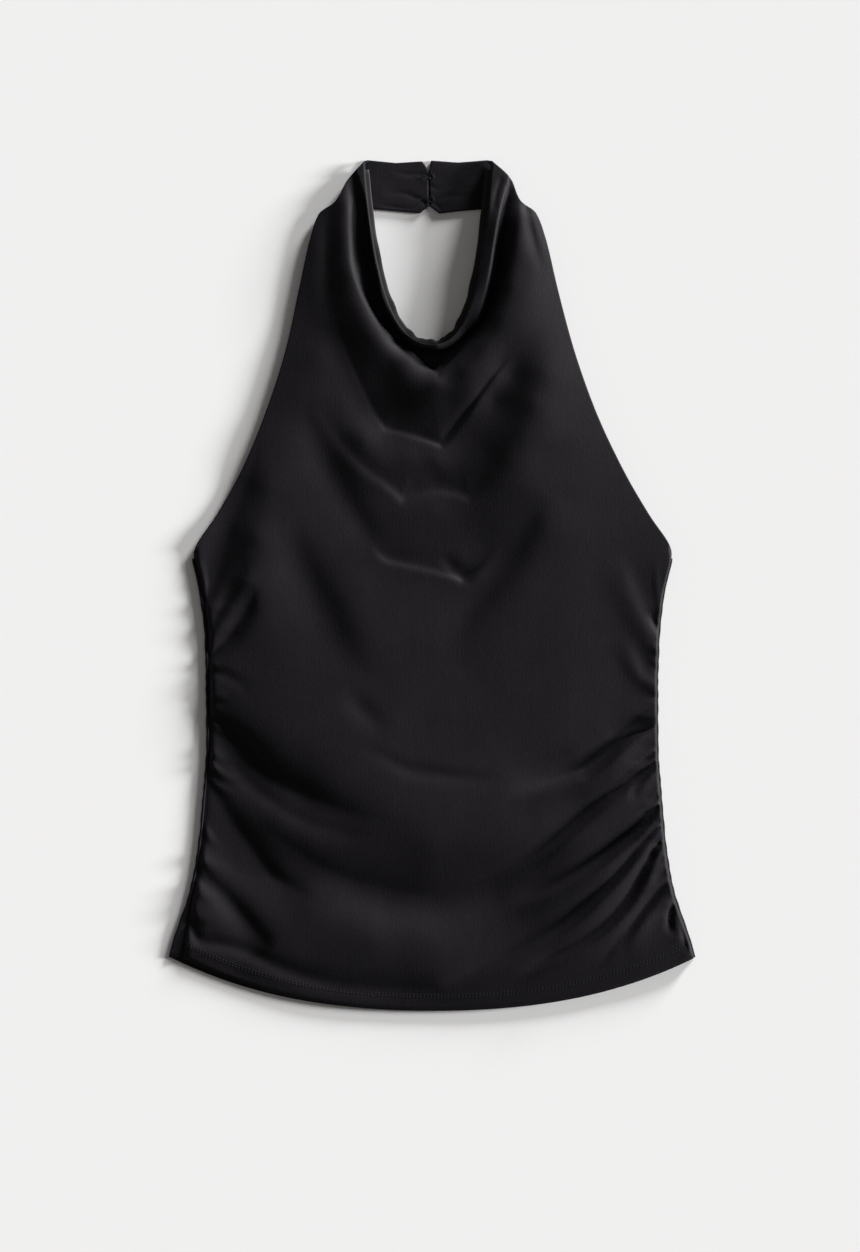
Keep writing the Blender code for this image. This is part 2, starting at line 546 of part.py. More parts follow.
def front_heights(sheet, x, y, share, values, seam):
    """Height of the front panel's outer face at each point."""
    base = values["mid_lift"] + (values["side_lift"] - values["mid_lift"]) * share**LIFT_SPREAD
    lift = base + relief(x, y) + fold_field(x, y)
    under = under_front(x, y) + FLATTEST_LIFT
    over = OVER_BACK + lift - under
    z = CLOTH + under + 0.5 * (over + np.sqrt(over**2 + SOFT_LANDING**2))
    # Side seams: the cloth dips to the top of the back panel's roll.
    from_end = (1.0 - share) * values["half"]
    z += seam * (2.0 * values["roll"] - z) * np.exp(-((from_end / SEAM_DIP) ** 2))
    # Armholes and neck sides: the cloth turns down to what it rests on.
    for side in (-1, 1):
        away, _, _ = measure(edge_route(side), x, y)
        foot = edge_foot(y)
        turned = foot + (z - foot) * quarter_turn(away, ARMHOLE_ROLL)
        z = z + (1.0 - seam) * (turned - z)
    # Neckline: the cloth rolls over to the facing.
    away, _, _ = measure(neckline_route(), x, y)
    foot = OVER_FACING + CLOTH
    rolled = foot + (z - foot) * quarter_turn(away, NECK_ROLL)
    return np.where(away < NECK_ROLL, np.maximum(rolled, foot), z)


def build_front(material):
    half_columns = len(MIDDLE_COLUMNS) + len(EDGE_COLUMNS) - 1
    gathered = row_of("underarm")

    def keep(row, column):
        """Fine rows by the seams below the underarm and in the middle above it."""
        if abs(column - half_columns) >= len(MIDDLE_COLUMNS):
            return row <= gathered or row >= row_of("shoulder") or row % 2 == 0
        return row >= gathered or row % 3 == 0

    sheet = Sheet(ROWS, 2 * half_columns + 1, keep)
    seam = 1.0 - smooth_step(row_of("underarm"), row_of("armhole_foot"), sheet.row)
    x, y, share, values = front_plan(sheet, seam)
    z = front_heights(sheet, x, y, share, values, seam)
    outer = np.column_stack([x, y, z])
    faces = sheet.faces(outer)
    return add_wall("front_panel", outer, front_inner(outer, faces, seam), faces, material)


def front_inner(outer, faces, seam):
    """Inner side of the front panel: straight below the outer one, but across it at the armholes."""
    x, y, z = outer.T
    normals = vertex_normals(outer, faces)
    depth = CLOTH / np.maximum(normals[:, 2], STEEPEST)
    below = outer - np.outer(depth, (0.0, 0.0, 1.0))
    below[:, 2] = np.maximum(below[:, 2], under_front(x, y))
    across = outer - CLOTH * normals
    across[:, 2] = np.maximum(across[:, 2], 0.0)
    away = np.minimum(*(measure(edge_route(side), x, y)[0] for side in (-1, 1)))
    near_edge = (1.0 - seam) * (1.0 - smooth_step(0.4 * ARMHOLE_ROLL, 1.5 * ARMHOLE_ROLL, away))
    return below + near_edge[:, None] * (across - below)


def build_back(material):
    """The back panel: flat on the surface, rolled up round the sides to the seams."""
    top_row = row_of("underarm")
    rows = np.arange(0.0, top_row + 1.0, 2.0)
    values = section_values(rows)
    to_top = smooth_step(0.0, 1.0, rows / top_row)
    top_mid = values["side_y"] - BACK_NECK_DIP
    values["mid_y"] = values["mid_y"] + (top_mid - values["mid_y"]) * to_top
    flat_shares = np.linspace(-1.0, 1.0, 9)
    angles = np.radians(np.linspace(0.0, 180.0, 7))[1:]
    columns = []
    normals = []
    wrapped = np.column_stack([
        values["lean"] - values["half"] + values["roll"] + values["wrap"],
        values["side_y"],
        2.0 * values["roll"],
    ])
    columns.append(wrapped)
    normals.append([(0.0, 0.0, 1.0)] * len(rows))
    for side, turns in ((-1, angles[::-1]), (0, flat_shares), (1, angles)):
        for value in turns:
            if side == 0:
                half = np.sign(value) if value else 1.0
                x, y = section_points(values, values["roll"], half, abs(value))
                columns.append(np.column_stack([x, y, np.zeros(len(rows))]))
                normals.append([(0.0, 0.0, -1.0)] * len(rows))
            else:
                end_x = values["lean"] + side * (values["half"] - values["roll"])
                x = end_x + side * values["roll"] * math.sin(value)
                z = values["roll"] * (1.0 - math.cos(value))
                columns.append(np.column_stack([x, values["side_y"], z]))
                normals.append([(side * math.sin(value), 0.0, -math.cos(value))] * len(rows))
    outer = np.vstack(columns)
    inner = outer - CLOTH * np.vstack(normals)
    count = len(rows)
    faces = [
        [i * count + j, i * count + j + 1, (i + 1) * count + j + 1, (i + 1) * count + j]
        for i in range(len(columns) - 1)
        for j in range(count - 1)
    ]
    return add_wall("back_panel", outer, inner, faces, material)


def build_facing(material):
    """The strip inside the neckline: it shows in the opening and tucks under the roll."""
    route = neckline_route()[1:-1]
    tangent = np.gradient(route, axis=0)
    tangent /= np.hypot(tangent[:, 0], tangent[:, 1])[:, None]
    inwards = np.column_stack([-tangent[:, 1], tangent[:, 0]])
    shows = np.interp(np.linspace(0.0, 2.0, len(route)), (0, 1, 2), FACING_SHOWS)
    across = [route + inwards * shows[:, None], route, route - inwards * FACING_TUCK]
    bottom = np.vstack([np.column_stack([p, np.full(len(p), OVER_BAND)]) for p in across])
    count = len(route)
    faces = [
        [i * count + j, (i + 1) * count + j, (i + 1) * count + j + 1, i * count + j + 1]
        for i in range(len(across) - 1)
        for j in range(count - 1)
    ]
    top = bottom + np.array([0.0, 0.0, FACING_THICKNESS])
    return add_wall("neck_facing", top, bottom, faces, material)


def build_band(name, outline, material):
    """One half of the neckband: a flat double layer of cloth with soft edges."""
    count = len(outline)
    points = [(x * MM, y * MM, z * MM) for z in (0.0, BAND_THICKNESS) for x, y in outline]
    faces = [tuple(range(count))[::-1], tuple(range(count, 2 * count))]
    faces += [(i, (i + 1) % count, count + (i + 1) % count, count + i) for i in range(count)]
    mesh = bpy.data.meshes.new(name)
    mesh.from_pydata(points, [], faces)
    mesh.materials.append(material)
    obj = bpy.data.objects.new(name, mesh)
    bpy.context.scene.collection.objects.link(obj)
    soft = obj.modifiers.new("soft_edge", "BEVEL")
    soft.width = BAND_BEVEL * MM
    soft.segments = 2
    soft.limit_method = "ANGLE"
    return obj


def add_wire(name, points, material):
    """A bent wire as a solid tube."""
    curve = bpy.data.curves.new(name, "CURVE")
    curve.dimensions = "3D"
    curve.bevel_depth = WIRE_RADIUS * MM
    curve.bevel_resolution = 1
    curve.use_fill_caps = True
    spline = curve.splines.new("POLY")
    spline.points.add(len(points) - 1)
    for point, place in zip(spline.points, points):
        point.co = (*(c * MM for c in place), 1.0)
    curve.materials.append(material)
    obj = bpy.data.objects.new(name, curve)
    bpy.context.scene.collection.objects.link(obj)
    return obj


def build_fastening(level, material):
    """A hook on the left half of the neckband and the eye it holds on the right half."""
    y = HOOK_HEIGHTS[level]
    low = OVER_BAND + WIRE_RADIUS
    high = low + HOOK_RISE
    start = JOIN_X - HOOK_LENGTH
    hook = [(start, y, low), (JOIN_X - 4.0, y, low), (JOIN_X - 1.8, y, high), (JOIN_X + 1.4, y, high)]
    angles = np.radians(np.linspace(-140.0, 140.0, 15))
    centre_x = JOIN_X + EYE_RADIUS
    eye = [(centre_x + EYE_RADIUS * math.cos(a), y + EYE_RADIUS * math.sin(a), low) for a in angles]
    add_wire(f"hook_{level}", hook, material)
    add_wire(f"eye_{level}", eye, material)


def make_material(name, colour, roughness, metallic=0.0):
    material = bpy.data.materials.new(name)
    material.use_nodes = True
    shader = material.node_tree.nodes["Principled BSDF"]
    shader.inputs["Base Color"].default_value = (*colour, 1.0)
    shader.inputs["Roughness"].default_value = roughness
    shader.inputs["Metallic"].default_value = metallic
    return material


def main():
    for obj in list(bpy.data.objects):
        bpy.data.objects.remove(obj)
    satin = make_material("satin_jersey", (0.012, 0.011, 0.013), 0.42)
    facing = make_material("facing_jersey", (0.010, 0.009, 0.009), 0.6)
    lacquer = make_material("lacquered_wire", (0.008, 0.008, 0.008), 0.3, 1.0)
    build_back(satin)
    build_front(satin)
    build_band("neckband_left", LEFT_BAND, satin)
    build_band("neckband_right", RIGHT_BAND, satin)
    build_facing(facing)
    for level in HOOK_HEIGHTS:
        build_fastening(level, lacquer)


main()
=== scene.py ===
"""Looks of a halter neck top in black satin jersey, laid out flat on its back.

The front panel, back panel, neckband, neck facing, hooks and eyes are modelled here as fine
meshes on the frame's solids, with their creases, gathers, stitches and finishes. Tables and
sizes are in millimetres, in the frame's axes: +Y towards the neck, +Z up from the surface.
"""

import logging
import math
from collections.abc import Callable
from dataclasses import dataclass, field
from enum import Enum

import bpy
import numpy as np
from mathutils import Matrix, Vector

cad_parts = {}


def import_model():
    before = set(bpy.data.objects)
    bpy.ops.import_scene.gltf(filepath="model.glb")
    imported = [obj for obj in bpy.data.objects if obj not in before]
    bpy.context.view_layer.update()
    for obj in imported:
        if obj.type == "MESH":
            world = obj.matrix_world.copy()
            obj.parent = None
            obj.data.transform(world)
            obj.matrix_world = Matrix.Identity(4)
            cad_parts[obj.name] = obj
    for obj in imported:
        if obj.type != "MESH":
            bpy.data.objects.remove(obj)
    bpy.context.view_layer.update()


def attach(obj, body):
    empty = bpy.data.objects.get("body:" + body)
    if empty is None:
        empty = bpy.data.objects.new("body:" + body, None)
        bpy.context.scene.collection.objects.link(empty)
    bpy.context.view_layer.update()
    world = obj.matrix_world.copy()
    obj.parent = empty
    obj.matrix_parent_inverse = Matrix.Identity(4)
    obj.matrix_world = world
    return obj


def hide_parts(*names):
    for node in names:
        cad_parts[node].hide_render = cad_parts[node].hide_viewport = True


LOG = logging.getLogger("halter_top")
MM = 0.001

Point = tuple[float, float]
Route = tuple[Point, ...]
Along = float | tuple[Point, ...]
Spot = tuple[float, float, float]
Colour = tuple[float, float, float]
Numbers = np.ndarray | float

# How fast a fold's bank falls off, how blunt a crisp one is, and how far it is worked out, all
# in reaches; the unit of the broad relief, in millimetres.
SOFT_FALL = 1.4
CRISP_FALL = 1.9
CRISP_TIP = 0.1
FOLD_MARGIN = 2.4
RELIEF_UNIT = 100.0
# The share of a section by which its speed at the end is read.
END_STEP = 0.01
# The range that a noise texture mostly keeps to, and the radians of a wave texture per unit.
NOISE_SPREAD = (0.3, 0.7)
WAVE_RADIANS = 20.0


class Side(Enum):
    """A side of the top, seen from above with the neck up."""

    LEFT = -1
    RIGHT = 1


class Slot(Enum):
    """Material slots of the record."""

    SATIN = "satin_jersey"
    FACING = "facing_jersey"
    WIRE = "lacquered_wire"


# ---------------------------------------------------------------------------------------------
# Curves and fields
# ---------------------------------------------------------------------------------------------


def smooth_step(low: float, high: float, value: Numbers) -> np.ndarray:
    """Return a smooth ramp from 0 at low to 1 at high; it falls where low is over high."""
    t = np.clip((value - low) / (high - low), 0.0, 1.0)
    return t * t * (3.0 - 2.0 * t)


def quarter_turn(distance: np.ndarray, radius: float) -> np.ndarray:
    """Return a quarter circle's height: 0 at an edge, 1 from the radius on."""
    t = np.clip(distance / radius, 0.0, 1.0)
    return np.sqrt(1.0 - (1.0 - t) ** 2)


def monotone(knots: np.ndarray, values: np.ndarray, at: np.ndarray) -> np.ndarray:
    """Read a smooth curve through values that never swings past them.

    Args:
        knots: Places of the values, rising.
        values: One value at each knot.
        at: Where to read the curve.

    Returns:
        The curve at each place in at.
    """
    step = np.diff(knots)
    rise = np.diff(values) / step
    slope = np.zeros(len(knots))
    slope[0], slope[-1] = rise[0], rise[-1]
    same_way = rise[:-1] * rise[1:] > 0
    mean = 2.0 * rise[:-1] * rise[1:] / np.where(same_way, rise[:-1] + rise[1:], 1.0)
    slope[1:-1] = np.where(same_way, mean, 0.0)
    i = np.clip(np.searchsorted(knots, at, side="right") - 1, 0, len(step) - 1)
    t = (at - knots[i]) / step[i]
    return (
        values[i] * (1 + 2 * t) * (1 - t) ** 2
        + slope[i] * step[i] * t * (1 - t) ** 2
        + values[i + 1] * t**2 * (3 - 2 * t)
        + slope[i + 1] * step[i] * t**2 * (t - 1)
    )


def smooth_leg(points: Route, steps: int = 8) -> np.ndarray:
    """Draw a smooth curve through a few plan points.

    Args:
        points: The points, in millimetres.
        steps: Pieces between one point and the next.

    Returns:
        The curve as an array of plan points.
    """
    p = np.array(points, float)
    padded = np.vstack([2 * p[0] - p[1], p, 2 * p[-1] - p[-2]])
    t = np.linspace(0.0, 1.0, steps, endpoint=False)[:, None]
    spans = []
    for a, b, c, d in zip(padded, padded[1:], padded[2:], padded[3:]):
        cubic = 2 * b + (c - a) * t + (2 * a - 5 * b + 4 * c - d) * t**2
        spans.append(0.5 * (cubic + (3 * b - a - 3 * c + d) * t**3))
    return np.vstack(spans + [p[-1:]])


@dataclass
class Reading:
    """Where points lie against a route."""

    away: np.ndarray
    side: np.ndarray
    share: np.ndarray


def measure(route: np.ndarray, x: np.ndarray, y: np.ndarray) -> Reading:
    """Measure points against a route.

    Args:
        route: Plan points of the route.
        x: X of the points to measure.
        y: Y of the points to measure.

    Returns:
        Distance, side (over 0 on the left of travel) and share of the way along the route.
    """
    best = np.full(len(x), np.inf)
    side = np.zeros(len(x))
    place = np.zeros(len(x))
    start = 0.0
    for (ax, ay), (bx, by) in zip(route[:-1], route[1:]):
        dx, dy = bx - ax, by - ay
        length = math.hypot(dx, dy)
        if length < 1e-6:
            continue
        px, py = x - ax, y - ay
        t = np.clip((px * dx + py * dy) / length**2, 0.0, 1.0)
        away = np.hypot(px - t * dx, py - t * dy)
        nearer = away < best
        best = np.where(nearer, away, best)
        side = np.where(nearer, np.sign(dx * py - dy * px), side)
        place = np.where(nearer, start + t * length, place)
        start += length
    return Reading(best, side, place / start)


def pairs(values: Along) -> tuple[Point, ...]:
    """Return a profile as pairs of share and value; a bare number holds all the way."""
    return values if isinstance(values, tuple) else ((0.0, values),)


def along(values: Along, share: np.ndarray) -> np.ndarray:
    """Read a value that changes along a line.

    Args:
        values: Pairs of a share of the line's length and the value there, or one value for all.
        share: Where to read it.

    Returns:
        The value at each share.
    """
    knots = np.array(pairs(values), float)
    if len(knots) == 1:
        return np.full(len(share), knots[0, 1])
    return monotone(knots[:, 0], knots[:, 1], np.clip(share, knots[0, 0], knots[-1, 0]))


@dataclass(frozen=True)
class Bank:
    """The cloth on one side of a fold's line.

    height is how far it stands over or under the cloth around it at the line, and reach how far
    that carries away from the line. A crisp bank curves down to the line like a hanging drape.
    """

    height: Along
    reach: Along
    crisp: bool = False

    def profile(self, reading: Reading) -> np.ndarray:
        """Return the bank's height at each reading."""
        r = reading.away / along(self.reach, reading.share)
        crisp = -CRISP_FALL * (np.sqrt(r**2 + CRISP_TIP**2) - CRISP_TIP)
        return along(self.height, reading.share) * np.exp(crisp if self.crisp else -SOFT_FALL * r**2)


@dataclass(frozen=True)
class Fold:
    """A fold in the cloth: a line, and a bank of cloth on its left and on its right.

    Left and right are those of someone who walks along the points. turn is half the width over
    which the cloth steps from one bank to the other, and lean is how many of these half widths
    the step lies left of the line. Two legs meet in a sharp corner.
    """

    name: str
    legs: tuple[Route, ...]
    left: Bank
    right: Bank
    turn: Along = 1.0
    lean: float = 0.0

    def route(self) -> np.ndarray:
        """Return the plan points of the whole line."""
        return np.vstack([smooth_leg(leg) for leg in self.legs])

    def lift(self, x: np.ndarray, y: np.ndarray) -> np.ndarray:
        """Work out the height that the fold adds.

        Args:
            x: X of the cloth's points.
            y: Y of the cloth's points.

        Returns:
            Height added at each point.
        """
        total = np.zeros(len(x))
        route = self.route()
        reaches = pairs(self.left.reach) + pairs(self.right.reach)
        margin = FOLD_MARGIN * max(reach for _, reach in reaches)
        low = route.min(axis=0) - margin
        high = route.max(axis=0) + margin
        near = (x > low[0]) & (x < high[0]) & (y > low[1]) & (y < high[1])
        if not near.any():
            return total
        reading = measure(route, x[near], y[near])
        turn = along(self.turn, reading.share)
        over = np.tanh(reading.side * reading.away / turn - self.lean)
        past_step = np.maximum(reading.away - self.lean * turn, 0.0)
        left = self.left.profile(Reading(past_step, reading.side, reading.share))
        right = self.right.profile(reading)
        total[near] = right + (left - right) * (0.5 + 0.5 * over)
        return total


def crease(name: str, route: Route, height: Along, reach: Along, far: Along | None = None,
           crisp: bool = False) -> Fold:
    """Return a fold as high on its left as on its right, with far its reach to the right."""
    return Fold(name, (route,), Bank(height, reach, crisp), Bank(height, far or reach))


def ledge(name: str, route: Route, low: Along, high: Along, reach: Along, far: Along,
          turn: Along) -> Fold:
    """Return a fold whose cloth is low on its left and high on its right, with far its reach there."""
    return Fold(name, (route,), Bank(low, reach), Bank(high, far), turn, 1.0)


class Relief:
    """The broad rise and fall of the cloth: the smoothest surface through a set of spot heights."""

    def __init__(self, spots: tuple[Spot, ...]) -> None:
        """Fit the surface.

        Args:
            spots: X and Y of each spot, and how far the cloth there stands over its plain lie.
        """
        self.spots = np.array(spots, float)
        count = len(self.spots)
        plane = np.column_stack([np.ones(count), self.spots[:, :2] / RELIEF_UNIT])
        system = np.zeros((count + 3, count + 3))
        system[:count, :count] = self.bend(self.spots[:, 0], self.spots[:, 1])
        system[:count, count:] = plane
        system[count:, :count] = plane.T
        self.weights = np.linalg.solve(system, np.concatenate([self.spots[:, 2], np.zeros(3)]))

    def bend(self, x: np.ndarray, y: np.ndarray) -> np.ndarray:
        """Return the pull of every spot, a column each, on plan points."""
        square = (x[:, None] - self.spots[:, 0]) ** 2 + (y[:, None] - self.spots[:, 1]) ** 2
        square = square / RELIEF_UNIT**2
        return 0.5 * square * np.log(np.maximum(square, 1e-12))

    def lift(self, x: np.ndarray, y: np.ndarray) -> np.ndarray:
        """Return the height that the relief adds at plan points."""
        plane = np.column_stack([np.ones(len(x)), x / RELIEF_UNIT, y / RELIEF_UNIT])
        return self.bend(x, y) @ self.weights[:-3] + plane @ self.weights[-3:]


@dataclass(frozen=True)
class Fan:
    """A place on a side seam, and how a gather leaves it there.

    rise is the gather's angle in degrees, over 0 towards the neck, and reach its length.
    """

    seam_y: float
    rise: float
    reach: float
    height: float


@dataclass(frozen=True)
class Section:
    """A section across the top; the fields are those of the frame's solids.

    side_y, half and lean place its ends. mid_x and mid_y place its lowest point. square is 0
    for a shallow arc and 1 for a deep U. mid_lift and side_lift are how high the cloth stands
    over what it lies on. roll is the radius of the back panel's turn round the side, and wrap
    how far the back panel lies over the top on the left. rows leads to the next section.
    """

    name: str
    side_y: float
    half: float
    lean: float
    mid_x: float
    mid_y: float
    square: float
    mid_lift: float
    side_lift: float
    roll: float
    wrap: float
    rows: int


SECTIONS = (
    Section("hem", -310, 219.5, 0, 0, -354.5, 0, 1, 1.8, 2, 10, 6),
    Section("hem_top", -297, 216, 0, 0, -341.5, 0, 2.8, 3.8, 2.6, 7.6, 12),
    Section("flare", -279, 210, 0, 0, -320, 0, 4.8, 4.8, 3, 4.2, 18),
    Section("hip", -255, 202, 0, 0, -297, 0, 5.2, 5.2, 3.1, 1, 28),
    Section("high_hip", -217, 195.2, 0.2, 0, -258, 0, 5.8, 5.2, 3.1, 0.8, 30),
    Section("low_waist", -180, 191.7, 0.3, 0, -215, 0, 6.2, 5.2, 3.1, 0.8, 38),
    Section("waist", -130, 188.4, 0.3, 0, -160, 0, 6, 5, 3.1, 0.8, 38),
    Section("ribs", -80, 188.6, 0, 0, -112, 0, 5.8, 5, 3.1, 0.8, 28),
    Section("side", -42, 189.8, 0.2, 0, -78, 0, 5.6, 5, 3.1, 0.8, 26),
    Section("side_top", -5, 194.3, 0, 0, -45, 0.05, 5.6, 5, 3, 0.8, 10),
    Section("underarm_low", 10, 197.6, 0.2, 0, -28, 0.06, 5.6, 5, 2.8, 0.8, 8),
    Section("underarm", 22, 200.2, 0.2, 0, -15, 0.08, 5.6, 5, 2.4, 0.6, 8),
    Section("armhole_foot", 33, 196.5, 0.4, 0, -3, 0.1, 5.6, 5.2, 0, 0, 12),
    Section("bust", 58, 179.8, 0.4, 1, 18, 0.12, 5.6, 5.6, 0, 0, 18),
    Section("upper_bust", 96, 158.3, 0, 2, 52, 0.16, 5.6, 6, 0, 0, 20),
    Section("chest", 146, 136.3, -1.3, 4, 88, 0.22, 5.8, 6.2, 0, 0, 22),
    Section("upper_chest", 196, 119.6, -2.1, 5, 120, 0.32, 6, 6.2, 0, 0, 22),
    Section("collarbone", 246, 107.5, -3.3, 5, 148, 0.5, 6.2, 6.2, 0, 0, 20),
    Section("strap", 290, 97.3, -3.7, 4, 168, 0.7, 6.2, 6, 0, 0, 10),
    Section("shoulder", 309, 90, -4, 3, 178, 0.8, 6, 5.4, 0, 0, 6),
    Section("neck_notch", 319, 77, -3.5, 2, 183, 0.86, 5.8, 4.8, 0, 0, 8),
    Section("neck_side", 337, 68, -2.3, 1.5, 191, 0.94, 5.4, 4.4, 0, 0, 14),
    Section("neckline", 353, 52.5, -3.5, 1, 199.5, 1, 5, 4.2, 0, 0, 0),
)

EDGE_SPOTS = (
    (-219, -310, -0.4), (-210, -279, -1), (-196, -225, -1.6), (-189, -165, -1.6), (-187, -105, -1.2),
    (-188, -50, -1), (-196, 5, -1.6), (-188, 46, -2.8), (-158, 96, -3.2), (-137, 146, -3.4),
    (-121, 196, -3.4), (-110, 246, -3.6), (-100, 292, -3.2), (-86, 315, -2), (-70, 340, -1),
    (219, -310, 2.4), (210, -279, 5.2), (196, -225, 7.4), (189, -165, 8.2), (187, -105, 8.2),
    (188, -50, 8.4), (196, 5, 8.4), (188, 46, 7.6), (158, 96, 7.6), (136, 146, 7.2), (119, 196, 7),
    (104, 246, 6), (94, 292, 4), (82, 315, 3), (66, 340, 2.5), (-150, -338, -1), (-75, -352, -0.4),
    (0, -355, -0.4), (75, -352, 0), (150, -338, 0.8), (-57, 320, 0.5), (-51, 276, 2.8), (-42, 240, 3.6),
    (-22, 207, 4.8), (4, 197, 5.6), (30, 208, 7), (44, 240, 8), (51, 280, 8), (58, 318, 6),
)

CREST_SPOTS = (
    (-69, 316, 2.4), (-70, 288, 4), (-65, 258, 6), (-52, 232, 7.6), (-35, 211, 8.6), (-16, 193, 9.2),
    (3, 168, 9.8), (24, 180, 11.4), (39, 200, 12.5), (54, 224, 13.5), (65, 250, 13.5), (74, 278, 12.5),
    (78, 306, 9), (98, 236, 8.5), (97, 205, 11), (94, 175, 13.6), (84, 150, 14.6), (76, 126, 14.2),
    (65, 104, 13), (53, 84, 11), (41, 68, 9), (26, 60, 7), (2, 62, 5.5), (-24, 58, 4), (104, 150, 13),
    (92, 110, 13),
)

HOLLOW_SPOTS = (
    (2, 188, 0), (12, 190, 2), (-86, 262, 1.2), (-86, 232, 0.4), (-78, 205, 0.2), (-68, 180, 0),
    (-57, 158, -0.6), (-47, 140, -1), (-34, 131, 0.2), (-8, 125, 2.4), (8, 118, 4), (-36, 182, 4.8),
    (-17, 158, 5.8), (14, 150, 7.5), (34, 158, 10.6), (50, 174, 11.6), (62, 194, 12.5), (40, 138, 6.4),
    (52, 152, 6.4), (66, 174, 9), (-94, 190, -0.2), (-72, 150, -0.2), (-92, 130, -1), (-57, 122, 3),
    (-79, 119, -0.4), (-110, 145, -0.8), (-88, 104, -0.8), (-72, 72, 0.8), (-54, 40, 2), (-42, 99, 4),
    (-24, 88, 3.2), (2, 88, 3), (24, 88, 4.2), (44, 110, 7), (4, 104, 5.4), (-20, 106, 4.6),
    (-124, 122, -1), (-128, 70, 0.4), (-118, 20, 1), (-100, 60, 0.6), (-100, 0, 0.5), (-62, 0, 4),
    (-154, 80, -3), (-161, 60, -3), (-168, 40, -3), (-174, 22, -3), (-180, 5, -3), (-136, 80, 0.4),
    (-146, 40, 2.6), (-159, 4, 2.4), (120, 60, 11), (152, 40, 8.5), (168, 0, 7), (130, 0, 9),
    (90, 50, 11.5), (40, 35, 6.5), (0, 35, 5), (-30, 10, 4.5), (30, -20, 6.5), (80, -10, 9),
    (-150, -60, 1.5), (-110, -60, 4), (-60, -50, 6), (0, -80, 7.5), (60, -80, 8.5), (120, -80, 9),
    (168, -80, 7.5), (-150, -122, 4.6), (-120, -120, 7), (-141, -154, 4), (-125, -190, 5.6), (-70, -130, 9),
    (-60, -205, 9.4), (-147, -229, 0.8), (-175, -185, -1), (-104, -238, 4.2), (0, -150, 9), (0, -214, 10.4),
    (-34, -208, 9.6), (60, -150, 9.5), (60, -204, 10.4), (120, -140, 9.5), (118, -180, 8), (120, -212, 9),
    (165, -120, 8), (168, -150, 8.5), (170, -200, 8.5), (-178, -245, -0.6), (-150, -275, 1.6),
    (-100, -277, 3.2), (-100, -305, 1.4), (-50, -292, 4), (-40, -262, 2.4), (0, -264, 2.6), (0, -296, 4.4),
    (0, -322, 3), (50, -262, 3.2), (60, -312, 2.8), (110, -250, 6.5), (110, -295, 5), (150, -225, 8),
    (150, -250, 7.5), (160, -290, 5.5), (190, -270, 5), (-165, -318, -1.4), (-120, -314, 1),
    (-50, -325, 1.4),
)

